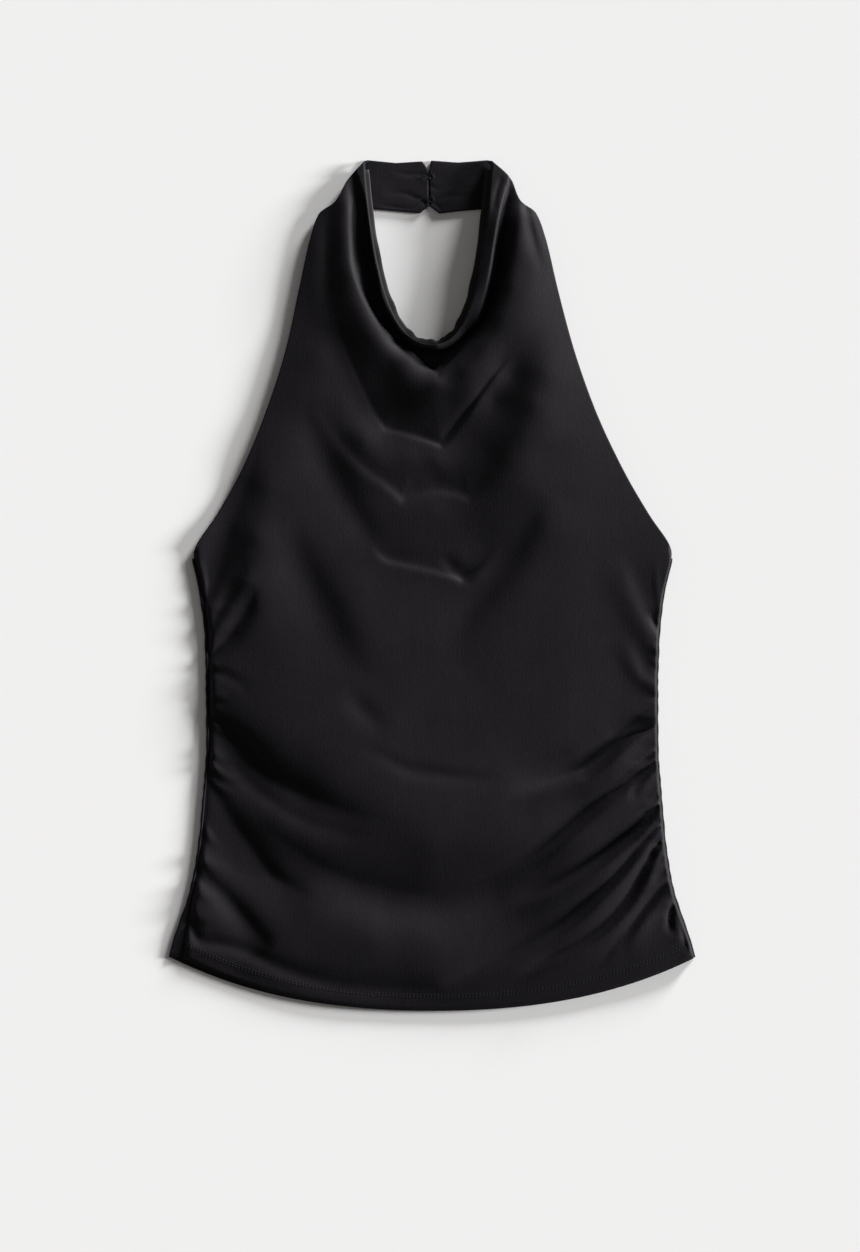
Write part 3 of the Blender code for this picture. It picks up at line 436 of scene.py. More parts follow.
COWL_FOLDS = (
    Fold("neck_roll",
        (((-62, 338), (-57, 320), (-54, 298), (-51, 276), (-47, 258), (-43, 238), (-33.5, 218), (-23, 204),
         (-10.5, 196), (4, 194.5), (16, 197.5), (29, 208.5), (39, 223), (45.5, 241), (50, 262), (53.5, 286),
         (57, 306), (63, 332)),),
        Bank(((0, 0.5), (0.1, 2.2), (0.25, 3.4), (0.5, 3.8), (0.75, 3.4), (0.9, 3), (1, 1.8)), 60),
        Bank(((0, -1.5), (0.08, -6), (0.25, -9), (0.5, -10), (0.75, -10.4), (0.93, -7), (1, -1)),
             ((0, 12), (0.25, 13), (0.5, 13), (0.75, 11), (1, 9))), 0.9),
    Fold("first_drape",
        (((-70, 336), (-68, 316), (-67, 290), (-65.5, 266), (-60, 248), (-48, 226), (-30, 207), (-12, 190),
         (5.5, 174.2)), ((5.5, 174.2), (13, 182), (22, 193), (33, 209), (43, 224), (51, 240), (58, 259),
         (65, 281), (70, 304), (72, 322))),
        Bank(((0, -0.5), (0.08, -2), (0.3, -3.4), (0.54, -7), (0.8, -4.2), (1, -0.5)),
             ((0, 9), (0.54, 11), (1, 8))),
        Bank(((0, 0.3), (0.1, 0.6), (0.4, 0.4), (0.54, 0.4), (0.75, 0.4), (1, 0.3)), 10),
        ((0, 3), (0.16, 2), (0.32, 1.2), (0.54, 1.2), (0.7, 3.5), (1, 4.5))),
    Fold("second_drape",
        (((-84, 232), (-76, 205), (-66, 180), (-56, 158), (-48, 142), (-39, 129)),
         ((-39, 129), (-25, 126), (-10, 121.5), (8, 115.2)), ((8, 115.2), (14, 121), (22, 132), (32, 146),
         (42, 160), (52, 173.5), (65, 189))),
        Bank(((0, 0), (0.2, -1), (0.42, -1.8), (0.62, -2.8), (0.72, -2.8), (0.92, -1.8), (1, 0)),
             ((0, 12), (0.42, 12), (0.62, 12), (0.75, 8), (1, 6)), crisp=True),
        Bank(((0, 0), (0.2, -0.6), (0.36, -1), (0.46, 0), (0.62, 0.2), (0.92, 0.6), (1, 0)),
             ((0, 16), (0.36, 20), (0.5, 14), (1, 14))), ((0, 2.6), (0.4, 2.4), (1, 2))),
    Fold("third_drape",
        (((-100, 152), (-84, 127), (-70, 109), (-54, 93), (-38, 82), (-24, 69.5)),
         ((-24, 69.5), (-12, 74), (4, 77), (18, 75), (31, 70.5)),
         ((31, 70.5), (39, 78), (48, 91), (58, 106), (66, 124))),
        Bank(((0, 0), (0.15, -0.6), (0.3, -1), (0.42, -1.4), (0.52, -2.2), (0.6, -1.6), (0.8, -1.2),
             (1, 0)), ((0, 14), (0.6, 14), (1, 12))),
        Bank(((0, 0), (0.3, 0.4), (0.5, 0.2), (0.7, 0.2), (1, 0)), 13), ((0, 5), (0.5, 3), (1, 4))),
    crease("left_cowl_valley",
        ((-109, 158), (-105, 140), (-97, 120), (-88, 100), (-77, 80), (-66, 61), (-55, 43), (-45, 27)),
        ((0, 0), (0.2, -0.9), (0.6, -1.4), (0.85, -1.2), (1, 0)), ((0, 10), (0.5, 14), (1, 12)),
        ((0, 14), (0.5, 16), (1, 14))),
    Fold("fourth_drape",
        (((-52, 34), (-40, 21), (-24, 16.5), (-5, 12.5), (10, 8.5), (26, 4.2)),
         ((26, 4.2), (34, 9), (43, 18), (54, 30))),
        Bank(((0, 0), (0.2, -1.6), (0.5, -1.3), (0.72, -2.2), (0.85, -0.8), (1, 0)), 16),
        Bank(((0, 0), (0.2, 0.2), (0.6, 0.3), (0.8, 0.5), (1, 0)), 14), 2.2),
    crease("fourth_nick", ((7, 26), (13, 18), (20, 11), (26, 5)), ((0, 0), (0.5, -0.9), (1, -1.1)), 7, 5),
    crease("left_strap_valley", ((-85, 312), (-85.5, 285), (-86, 258), (-84, 232)),
        ((0, -0.3), (0.3, -1.6), (0.8, -1.8), (1, -0.8)), ((0, 7), (1, 10)), ((0, 7), (1, 10))),
    crease("right_strap_valley", ((78, 314), (81, 298), (86, 278), (92, 258)),
        ((0, -1.6), (0.4, -1.4), (1, 0)), ((0, 3), (1, 5)), ((0, 5), (1, 8))),
    crease("right_neck_valley", ((57, 336), (53.5, 324), (51.5, 312)), ((0, -0.8), (0.5, -1), (1, -0.6)),
        2.4),
    Fold("left_bust_fall",
        (((-114, 66), (-107, 36), (-93, 2), (-80, -20), (-69, -42), (-59, -63), (-51, -80)),),
        Bank(((0, 0), (0.3, 1.6), (0.7, 1.6), (1, 0)), 36),
        Bank(((0, 0), (0.3, -2.1), (0.7, -2), (1, 0)), 34), ((0, 13), (1, 13))),
    ledge("right_bust_rise",
        ((20, -66), (34, -46), (47, -27), (60, -10), (72, 5), (84, 24), (95, 45), (104, 74)),
        ((0, 0), (0.3, -1.6), (0.8, -1.6), (1, 0)), ((0, 0), (0.3, 1.7), (0.8, 1.7), (1, 0)), 30, 36, 9),
    crease("left_belly_valley", ((-74, -88), (-60, -101), (-46, -115), (-36, -126)),
        ((0, 0), (0.4, -1.3), (1, 0)), 10, 10),
    crease("middle_crease",
        ((-60, -137), (-42, -142), (-26, -150.5), (-10, -155.5), (12, -158.5), (34, -160), (58, -161)),
        ((0, 0), (0.25, -0.9), (0.6, -1.2), (1, 0)), 7, 7),
)

LEFT_FIRST_LINE = (
    (-187, -109), (-175, -117), (-163, -128), (-152, -141), (-141, -154), (-128, -162), (-112, -170),
    (-96, -179), (-78, -187), (-50, -195), (-18, -199),
)

LEFT_SECOND_LINE = (
    (-187, -164), (-181, -180), (-171, -198), (-159, -214.5), (-147, -229), (-134, -241),
    (-119, -251), (-104, -260), (-86, -270),
)

SWAG_FOLDS = (
    crease("left_armhole_valley",
        ((-142, 124), (-149, 100), (-157, 76), (-167, 50), (-174, 26), (-181, 3), (-187, -26)),
        ((0, 0), (0.25, -0.8), (0.55, -1.2), (0.85, -1.8), (1, -1.4)), ((0, 8), (0.5, 15), (1, 5)),
        ((0, 11), (0.5, 18), (1, 5)), crisp=True),
    crease("left_armhole_gather", ((-154, 24), (-161, 6), (-169, -11), (-179, -29), (-187, -46)),
        ((0, 0), (0.4, -1.6), (1, -1.8)), ((0, 7), (1, 3)), ((0, 10), (1, 4))),
    crease("left_side_valley", ((-147, 0), (-151, -18), (-158, -32), (-168, -46), (-180, -57), (-188, -66)),
        ((0, 0), (0.3, -3), (0.8, -4.2), (1, -3.4)), ((0, 7), (0.6, 9), (1, 5)), ((0, 14), (1, 7)),
        crisp=True),
    crease("left_edge_gather", ((-187.5, 22), (-185.5, 6), (-187, -14)), ((0, 0), (0.5, -0.8), (1, -0.6)),
        1.8),
    crease("left_low_gather", ((-147, -95), (-160, -82), (-174, -74), (-188, -71)),
        ((0, 0), (0.6, -0.9), (1, -1.2)), ((0, 7), (1, 4)), ((0, 8), (1, 4))),
    crease("left_first_swag", LEFT_FIRST_LINE,
        ((0, -3), (0.3, -7), (0.5, -6.6), (0.7, -4), (0.85, -1.4), (0.95, -0.2), (1, 0)),
        ((0, 9), (0.3, 20), (0.6, 28), (1, 30)), ((0, 14), (0.3, 34), (1, 34)), crisp=True),
    crease("left_first_lip", LEFT_FIRST_LINE[:8], ((0, -0.6), (0.4, -1.4), (0.8, -1), (1, 0)),
        ((0, 3), (0.5, 5), (1, 6))),
    crease("left_second_wrinkle",
        ((-172, -142), (-152, -165), (-134, -179), (-114, -192), (-84, -204), (-44, -210)),
        ((0, 0), (0.3, -0.8), (0.7, -0.6), (1, 0)), ((0, 5), (1, 7)), ((0, 6), (1, 8))),
    crease("left_second_swag", LEFT_SECOND_LINE, ((0, -4.4), (0.4, -7), (0.7, -5), (0.92, -0.6), (1, 0)),
        ((0, 9), (0.4, 26), (1, 28)), ((0, 12), (0.5, 32), (1, 28)), crisp=True),
    crease("left_second_lip", LEFT_SECOND_LINE[:7], ((0, -0.5), (0.4, -1.1), (0.8, -0.9), (1, 0)),
        ((0, 3), (0.5, 5), (1, 6))),
    Fold("middle_swag",
        (((-150, -194), (-128, -213), (-104, -230), (-80, -243), (-55, -252), (-25, -259), (0, -262),
         (25, -258), (50, -249.5), (75, -239), (100, -224.5), (120, -208.5), (140, -190), (151, -180.5),
         (160, -174), (172, -164), (188, -148)),),
        Bank(((0, 0), (0.15, -3), (0.3, -5.4), (0.55, -6), (0.75, -7.8), (0.9, -5.6), (1, -2.6)), ((0, 18),
             (0.35, 26), (0.5, 25), (0.65, 25), (0.8, 20), (1, 6)), crisp=True),
        Bank(((0, 0), (0.15, -3), (0.3, -5.4), (0.55, -5), (0.65, -2.6), (0.75, 1.4), (1, 2.8)),
             ((0, 22), (0.4, 28), (0.7, 26), (1, 8))),
        ((0, 0.8), (0.4, 1.2), (0.5, 2.8), (0.65, 3.6), (0.85, 3), (1, 1.4)), 1.8),
    crease("left_third_swag",
        ((-191, -240), (-178, -252), (-165, -266), (-152, -280.5), (-142, -293), (-134, -304)),
        ((0, -3.2), (0.5, -4.6), (0.85, -2.8), (1, 0)), ((0, 8), (0.5, 16), (1, 12)), ((0, 10), (1, 22)),
        crisp=True),
    crease("hem_swag_left",
        ((-200, -264), (-199, -284), (-193, -295), (-179, -297.5), (-160, -302), (-140, -310.5),
         (-120, -319.5), (-100, -326.5), (-78, -331.5), (-50, -334.5), (-20, -335), (8, -335)),
        ((0, -1.6), (0.12, -2.6), (0.5, -3), (0.85, -2.4), (1, 0)), ((0, 5), (0.3, 12), (0.6, 15), (1, 18)),
        ((0, 4), (0.4, 8), (1, 8)), crisp=True),
    ledge("hem_swag_right",
        ((6, -336), (18, -333), (34, -326), (50, -318), (68, -309.5), (88, -299), (108, -289),
         (124, -277.5), (139, -263), (152, -250), (165, -234.5), (177, -218), (189, -202)),
        ((0, 0), (0.2, -2.6), (0.6, -4.8), (1, -2.6)), ((0, 0), (0.3, 1.4), (0.7, 3.2), (1, 2)),
        ((0, 14), (0.4, 18), (0.8, 10), (1, 5)), ((0, 8), (0.4, 24), (0.8, 14), (1, 6)),
        ((0, 1.8), (0.5, 3), (1, 2))),
    ledge("right_waist_swag",
        ((60, -184), (84, -175), (102, -168.5), (118, -163), (130, -159), (142, -151), (152, -142),
         (161, -133), (171, -126.5), (188, -120.5)),
        ((0, 0), (0.06, -0.2), (0.3, -3.8), (0.7, -8), (1, -3.6)),
        ((0, 0), (0.06, 0.1), (0.3, 2), (0.7, 4.4), (1, 2.4)), ((0, 24), (0.5, 22), (0.85, 14), (1, 6)),
        ((0, 22), (0.6, 20), (1, 8)), ((0, 4.4), (0.5, 3.2), (1, 1.6))),
    ledge("right_rib_wrinkle", ((133, -143), (148, -132.5), (160, -121.5), (173, -110), (187, -100.5)),
        ((0, 0), (0.4, -0.9), (1, -0.9)), ((0, 0), (0.4, 0.6), (1, 0.6)), ((0, 6), (1, 4)),
        ((0, 9), (1, 5)), 1.4),
    ledge("right_hip_swag",
        ((56, -274), (80, -266), (102, -256), (122, -245.5), (140, -234.5), (155, -222.5), (168, -211.5),
         (180, -199), (191, -183)), ((0, 0), (0.06, -0.2), (0.3, -4.6), (0.6, -8), (1, -4.4)),
        ((0, 0), (0.06, 0.1), (0.3, 2.2), (0.6, 4.4), (1, 2.4)), ((0, 24), (0.45, 20), (0.75, 12), (1, 5)),
        ((0, 24), (0.6, 18), (1, 8)), ((0, 4.2), (0.5, 3), (1, 1.5))),
    ledge("right_lower_swag",
        ((66, -335), (84, -324), (102, -314), (120, -305), (138, -294), (153, -281), (166, -266),
         (176, -249), (183, -232), (188, -219)),
        ((0, 0), (0.06, -0.4), (0.3, -4.2), (0.8, -4.6), (1, -2.8)),
        ((0, 0), (0.06, 0.2), (0.3, 2), (0.8, 2.4), (1, 1.6)), ((0, 12), (0.6, 13), (1, 6)),
        ((0, 12), (0.6, 11), (1, 5)), ((0, 3.6), (1, 2.4))),
    ledge("right_corner_swag", ((160, -309), (166, -295), (174, -282), (184, -268), (197, -249)),
        ((0, 0), (0.5, -2.6), (1, -1.6)), ((0, 0), (0.5, 1.8), (1, 1.2)), ((0, 8), (1, 5)),
        ((0, 9), (1, 6)), ((0, 3.2), (1, 2.4))),
    ledge("right_hem_wrinkle", ((141, -321), (152, -305), (164, -289), (176, -274.5), (190, -257)),
        ((0, 0), (0.3, -1.1), (0.8, -1.1), (1, 0)), ((0, 0), (0.5, 0.9), (1, 0)), 6, 6, 2.6),
    crease("right_corner_crease", ((212, -302), (209, -291), (206, -276)),
        ((0, -0.4), (0.5, -1.6), (1, -0.6)), 2.4),
    crease("right_side_crease", ((198, -291), (197.5, -276), (200.5, -262)),
        ((0, 0), (0.4, -2.4), (1, -2.2)), 2.8),
    ledge("right_second_gather", ((152, -168), (160, -160), (169, -152), (179, -146), (189, -137)),
        ((0, 0), (0.4, -1.3), (1, -1.4)), ((0, 0), (0.4, 0.7), (1, 0.7)), ((0, 5), (1, 3)),
        ((0, 6), (1, 3)), 1.4),
    crease("right_third_gather", ((167, -180), (168, -171), (175, -160), (184, -150)),
        ((0, 0), (0.3, -1.8), (1, -1)), ((0, 3.4), (1, 2.4))),
    ledge("right_fourth_gather", ((164, -200), (176, -192), (184, -184), (191, -172)),
        ((0, 0), (0.5, -1), (1, -1.2)), ((0, 0), (0.5, 0.6), (1, 0.6)), ((0, 5), (1, 3)), ((0, 6), (1, 3)),
        1.4),
    crease("right_fifth_gather", ((180, -236), (183, -224), (192, -213)), ((0, 0), (0.5, -1.8), (1, -1.2)),
        2.8),
    crease("right_upper_ridge", ((150, 26), (160, 0), (168.5, -20), (178, -40), (188, -57)),
        ((0, 0), (0.4, 1.6), (1, 1.5)), ((0, 10), (1, 6)), ((0, 20), (1, 10))),
    crease("right_rib_ridge", ((157, -42), (164, -60), (172, -76), (188, -86)),
        ((0, 0), (0.5, 1.3), (1, 1.1)), ((0, 8), (1, 5)), ((0, 11), (1, 7))),
    crease("right_top_gather", ((180, -22), (185, -33), (190, -43)), ((0, 0), (0.5, -1.5), (1, -1.5)), 2.8),
    crease("right_edge_ridge", ((186.5, 20), (186, 2), (189, -20)), ((0, 0), (0.5, 0.5), (1, 0.4)), 3),
)

LEFT_FAN = (
    Fan(-8, 68, 30, 1.7),
    Fan(-60, 44, 26, 2.2),
    Fan(-88, 8, 16, 2),
    Fan(-120, -46, 32, 2.5),
    Fan(-200, -52, 34, 2.5),
    Fan(-250, -62, 30, 2.3),
    Fan(-298, -76, 16, 1.8),
)

RIGHT_FAN = (
    Fan(-20, 60, 18, 0.9),
    Fan(-60, 40, 16, 1.2),
    Fan(-88, 6, 14, 1.3),
    Fan(-116, -36, 34, 1.9),
    Fan(-180, -44, 32, 1.9),
    Fan(-250, -60, 32, 1.8),
    Fan(-298, -78, 18, 1.4),
)

FASTENING_HEIGHTS = (("upper", 340.0), ("lower", 321.0))


# ---------------------------------------------------------------------------------------------
# Finishes
# ---------------------------------------------------------------------------------------------


class NodeBench:
    """Makes a node material step by step."""

    def __init__(self, name: str) -> None:
        """Start an empty material.

        Args:
            name: The material's name.
        """
        self.material = bpy.data.materials.new(name)
        self.material.use_nodes = True
        self.tree = self.material.node_tree
        self.shader = self.tree.nodes["Principled BSDF"]

    def set_shader(self, **values: float | Colour) -> None:
        """Set sockets of the surface shader; underscores stand for spaces.

        Args:
            **values: Socket names and their values.
        """
        for name, value in values.items():
            socket = self.shader.inputs[name.replace("_", " ")]
            socket.default_value = (*value, 1.0) if isinstance(value, tuple) else value

    def add(self, kind: str, inputs: dict | None = None, **settings: object) -> bpy.types.Node:
        """Add a node.

        Args:
            kind: The node's type.
            inputs: Values or output sockets for its inputs, by name or number.
            **settings: The node's own settings.

        Returns:
            The new node.
        """
        node = self.tree.nodes.new(kind)
        for name, value in settings.items():
            setattr(node, name, value)
        for name, value in (inputs or {}).items():
            if isinstance(value, bpy.types.NodeSocket):
                self.tree.links.new(value, node.inputs[name])
            else:
                node.inputs[name].default_value = value
        return node

    def link(self, output: bpy.types.NodeSocket, name: str) -> None:
        """Link an output to the surface shader's socket of that name."""
        self.tree.links.new(output, self.shader.inputs[name])

    def place(self) -> bpy.types.NodeSocket:
        """Return the object's own coordinates, in metres."""
        return self.add("ShaderNodeTexCoord").outputs["Object"]

    def noise(self, per_metre: float, detail: float, stretch: Colour = (1, 1, 1)) -> bpy.types.NodeSocket:
        """Add a noise texture on the object's own coordinates.

        Args:
            per_metre: Its scale.
            detail: Its octaves.
            stretch: Its scale along each axis.

        Returns:
            The noise, mostly between 0.3 and 0.7.
        """
        mapped = self.add("ShaderNodeMapping", {"Vector": self.place(), "Scale": stretch})
        inputs = {"Vector": mapped.outputs[0], "Scale": per_metre, "Detail": detail}
        return self.add("ShaderNodeTexNoise", inputs).outputs[0]

    def between(self, value: bpy.types.NodeSocket, low: float, high: float) -> bpy.types.NodeSocket:
        """Spread a noise over a range.

        Args:
            value: The noise.
            low: Result where the noise is low.
            high: Result where the noise is high.

        Returns:
            The spread value.
        """
        start, stop = NOISE_SPREAD
        inputs = {"Value": value, "From Min": start, "From Max": stop, "To Min": low, "To Max": high}
        return self.add("ShaderNodeMapRange", inputs).outputs["Result"]

    def mean(self, first: bpy.types.NodeSocket, second: bpy.types.NodeSocket) -> bpy.types.NodeSocket:
        """Return the mean of two values."""
        total = self.add("ShaderNodeMath", {0: first, 1: second}, operation="ADD").outputs[0]
        return self.add("ShaderNodeMath", {0: total, 1: 0.5}, operation="MULTIPLY").outputs[0]

    def mixed_colour(self, value: bpy.types.NodeSocket, low: Colour, high: Colour) -> bpy.types.NodeSocket:
        """Mix two colours by a value.

        Args:
            value: 0 for the first colour, 1 for the second.
            low: The first colour.
            high: The second colour.

        Returns:
            The mixed colour.
        """
        ramp = self.add("ShaderNodeValToRGB", {"Fac": value})
        ramp.color_ramp.elements[0].color = (*low, 1.0)
        ramp.color_ramp.elements[1].color = (*high, 1.0)
        return ramp.outputs["Color"]

    def bump(self, layers: list[tuple[bpy.types.NodeSocket, float]]) -> None:
        """Stack bumps on the surface.

        Args:
            layers: Height sockets, each with its depth in millimetres.
        """
        normal = None
        for height, depth in layers:
            inputs = {"Height": height, "Distance": depth * MM, "Strength": 1.0}
            if normal is not None:
                inputs["Normal"] = normal
            normal = self.add("ShaderNodeBump", inputs).outputs["Normal"]
        self.link(normal, "Normal")


@dataclass(frozen=True)
class SatinJersey:
    """Black satin jersey: smooth wales with a broad soft gloss and a faint violet sheen.

    Noise scales are per metre, depths and the wales' pitch in millimetres.
    """

    name: str = "satin_jersey_cloth"
    dark: Colour = (0.0044, 0.0038, 0.0049)
    light: Colour = (0.0122, 0.0106, 0.0134)
    roughness: Point = (0.56, 0.64)
    gloss: float = 0.1
    sheen: float = 0.01
    sheen_roughness: float = 0.45
    sheen_tint: Colour = (0.72, 0.68, 0.85)
    cloud_scale: float = 38.0
    grain_scale: float = 560.0
    grain_depth: float = 0.12
    slub_scale: float = 160.0
    slub_depth: float = 0.05
    wale_pitch: float = 1.1
    wale_waver: float = 1.2
    wale_depth: float = 0.018

    def build(self) -> bpy.types.Material:
        """Make the cloth's material and return it."""
        bench = NodeBench(self.name)
        bench.set_shader(
            Specular_IOR_Level=self.gloss,
            Sheen_Weight=self.sheen,
            Sheen_Roughness=self.sheen_roughness,
            Sheen_Tint=self.sheen_tint,
        )
        cloud = bench.noise(self.cloud_scale, 3.0)
        grain = bench.noise(self.grain_scale, 2.0, (1.0, 0.6, 1.0))
        slub = bench.noise(self.slub_scale, 4.0, (1.0, 0.25, 1.0))
        bench.link(bench.mixed_colour(bench.mean(grain, cloud), self.dark, self.light), "Base Color")
        bench.link(bench.between(slub, *self.roughness), "Roughness")
        waves_per_metre = math.tau / WAVE_RADIANS / (self.wale_pitch * MM)
        inputs = {
            "Vector": bench.place(), "Scale": waves_per_metre, "Distortion": self.wale_waver, "Detail": 1.0,
        }
        wales = bench.add("ShaderNodeTexWave", inputs, wave_type="BANDS", bands_direction="X")
        bench.bump([
            (slub, self.slub_depth),
            (wales.outputs["Fac"], self.wale_depth),
            (grain, self.grain_depth),
        ])
        return bench.material


@dataclass(frozen=True)
class FleckedFinish:
    """A finish whose colour and height follow one noise; a range of roughness follows it too.

    flecks is the noise's scale per metre, octaves its detail, and depth its height in
    millimetres.
    """

    name: str
    low: Colour
    high: Colour
    flecks: float
    octaves: float
    depth: float
    roughness: float | Point
    gloss: float
    stretch: Colour = (1.0, 1.0, 1.0)
    sheen: float = 0.0
    coat: float = 0.0
    coat_roughness: float = 0.03

    def build(self) -> bpy.types.Material:
        """Make the material and return it."""
        bench = NodeBench(self.name)
        bench.set_shader(
            Specular_IOR_Level=self.gloss,
            Sheen_Weight=self.sheen,
            Coat_Weight=self.coat,
            Coat_Roughness=self.coat_roughness,
        )
        flecks = bench.noise(self.flecks, self.octaves, self.stretch)
        bench.link(bench.mixed_colour(flecks, self.low, self.high), "Base Color")
        if isinstance(self.roughness, tuple):
            bench.link(bench.between(flecks, *self.roughness), "Roughness")
        else:
            bench.set_shader(Roughness=self.roughness)
        bench.bump([(flecks, self.depth)])
        return bench.material


@dataclass(frozen=True)
class ReverseJersey(FleckedFinish):
    """The jersey's matt inner side, as it shows on the facing."""

    name: str = "facing_jersey_cloth"
    low: Colour = (0.0075, 0.0068, 0.0066)
    high: Colour = (0.0120, 0.0108, 0.0105)
    flecks: float = 1100.0
    octaves: float = 2.0
    depth: float = 0.09
    roughness: float = 0.66
    gloss: float = 0.3
    sheen: float = 0.06


@dataclass(frozen=True)
class SewingThread(FleckedFinish):
    """Black polyester thread, slightly glossier than the cloth."""

    name: str = "sewing_thread"
    low: Colour = (0.0045, 0.0042, 0.0048)
    high: Colour = (0.0085, 0.008, 0.009)
    flecks: float = 2600.0
    octaves: float = 1.0
    depth: float = 0.04
    roughness: float = 0.6
    gloss: float = 0.15
    stretch: Colour = (1.0, 2.0, 1.0)


@dataclass(frozen=True)
class LacqueredWire(FleckedFinish):
    """Steel wire under black lacquer, as on small hooks and eyes."""

    name: str = "lacquered_wire_finish"
    low: Colour = (0.005, 0.005, 0.0055)
    high: Colour = (0.012, 0.011, 0.0105)
    flecks: float = 700.0
    octaves: float = 3.0
    depth: float = 0.03
    roughness: Point = (0.32, 0.48)
    gloss: float = 0.15
    coat: float = 0.04
    coat_roughness: float = 0.4


@dataclass(frozen=True)
class SeamlessPaper(FleckedFinish):
    """White paper under the top."""

    name: str = "seamless_paper"
    low: Colour = (0.79, 0.79, 0.79)
    high: Colour = (0.81, 0.81, 0.81)
    flecks: float = 900.0
    octaves: float = 4.0
    depth: float = 0.02
    roughness: float = 0.95
    gloss: float = 0.05


# ---------------------------------------------------------------------------------------------
# Meshes
# ---------------------------------------------------------------------------------------------


def add_object(name: str, data: bpy.types.ID) -> bpy.types.Object:
    """Make an object of a mesh, curve, light or camera, link it to the scene and return it."""
    made = bpy.data.objects.new(name, data)
    bpy.context.scene.collection.objects.link(made)
    return made


def stand_in(piece: bpy.types.Object, node: str) -> bpy.types.Object:
    """Put a piece in the place of a node of the frame.

    Args:
        piece: The piece.
        node: The node's name.

    Returns:
        The piece.
    """
    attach(piece, "root")
    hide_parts(node)
    return piece


def new_piece(name: str, points: np.ndarray, faces: list, material: bpy.types.Material) -> bpy.types.Object:
    """Make a mesh object from millimetre points.

    Args:
        name: The piece's name.
        points: Its points, in millimetres.
        faces: Its faces, as lists of point numbers.
        material: Its material.

    Returns:
        The object, linked to the scene and shaded smooth.
    """
    mesh = bpy.data.meshes.new(name)
    mesh.from_pydata((np.asarray(points) * MM).tolist(), [], faces)
    mesh.materials.append(material)
    mesh.shade_smooth()
    return add_object(name, mesh)


def grid_faces(columns: int, rows: int) -> np.ndarray:
    """Join a full grid of points that is stored column by column.

    Args:
        columns: Number of columns.
        rows: Number of points in each.

    Returns:
        Two triangles for each cell, whose outer side faces up where the columns run to the right.
    """
    a = np.array([i * rows + j for i in range(columns - 1) for j in range(rows - 1)])
    below = np.column_stack([a, a + rows, a + rows + 1])
    above = np.column_stack([a, a + rows + 1, a + 1])
    return np.vstack([below, above])


def rim_faces(faces: np.ndarray, count: int) -> list[tuple[int, int, int, int]]:
    """Close the gap between a sheet and its inner side.

    Args:
        faces: The sheet's triangles.
        count: Number of points in the sheet.

    Returns:
        A quad for each edge that only one triangle has.
    """
    edges = np.vstack([faces[:, [0, 1]], faces[:, [1, 2]], faces[:, [2, 0]]])
    known = set(map(tuple, edges.tolist()))
    return [(b, a, a + count, b + count) for a, b in sorted(known) if (b, a) not in known]


def wall(name: str, outer: np.ndarray, inner: np.ndarray, faces: np.ndarray,
         material: bpy.types.Material) -> bpy.types.Object:
    """Make a closed wall of cloth.

    Args:
        name: The piece's name.
        outer: Points of the outer side.
        inner: The matching points of the inner side.
        faces: Triangles of the outer side.
        material: The cloth's material.

    Returns:
        The wall as one object.
    """
    count = len(outer)
    inside = faces[:, ::-1] + count
    everything = faces.tolist() + inside.tolist() + rim_faces(faces, count)
    return new_piece(name, np.vstack([outer, inner]), everything, material)


def even_normals(points: np.ndarray, faces: np.ndarray, rounds: int = 3) -> np.ndarray:
    """Work out a sheet's unit normals, evened out over their neighbours.

    Args:
        points: The sheet's points.
        faces: Its triangles.
        rounds: How many times they are evened out.

    Returns:
        One unit normal for each point.
    """
    a, b, c = points[faces[:, 0]], points[faces[:, 1]], points[faces[:, 2]]
    flat = np.cross(b - a, c - a)
    normals = np.zeros_like(points)
    for corner in range(3):
        np.add.at(normals, faces[:, corner], flat)
    for _ in range(rounds):
        normals /= np.linalg.norm(normals, axis=1)[:, None]
        mean = normals[faces].mean(axis=1)
        evened = normals.copy()
        for corner in range(3):
            np.add.at(evened, faces[:, corner], mean)
        normals = evened
    return normals / np.linalg.norm(normals, axis=1)[:, None]


class GradedSheet:
    """A grid of points, rows by columns, that leaves out rows where the cloth is plain."""

    def __init__(self, rows: int, columns: int, keep: Callable[[int, int], bool]) -> None:
        """Number the points that stay.

        Args:
            rows: Number of the last row.
            columns: Number of columns.
            keep: Function of row and column that says whether the point stays.
        """
        self.kept = [[j for j in range(rows + 1) if keep(j, i)] for i in range(columns)]
        self.first = np.cumsum([0] + [len(column) for column in self.kept])
        self.row = np.concatenate([np.array(column, float) for column in self.kept])
        self.column = np.repeat(np.arange(columns), [len(column) for column in self.kept])

    def faces(self, points: np.ndarray) -> np.ndarray:
        """Join neighbouring columns.

        Args:
            points: The grid's points, whose shorter diagonals are used.

        Returns:
            The triangles.
        """
        made: list[tuple[int, int, int]] = []
        for i, (near, far) in enumerate(zip(self.kept, self.kept[1:])):
            left, right = int(self.first[i]), int(self.first[i + 1])
            lowest = max(near[0], far[0])
            a, b = near.index(lowest), far.index(lowest)
            while a < len(near) - 1 or b < len(far) - 1:
                if b == len(far) - 1:
                    step_left = True
                elif a == len(near) - 1:
                    step_left = False
                elif near[a + 1] != far[b + 1]:
                    step_left = near[a + 1] < far[b + 1]
                else:
                    up_left = points[left + a + 1] - points[right + b]
                    up_right = points[right + b + 1] - points[left + a]
                    step_left = up_left @ up_left < up_right @ up_right
                if step_left:
                    made.append((left + a, right + b, left + a + 1))
                    a += 1
                else:
                    made.append((left + a, right + b, right + b + 1))
                    b += 1
        return np.array(made)


# ---------------------------------------------------------------------------------------------
# The garment
# ---------------------------------------------------------------------------------------------


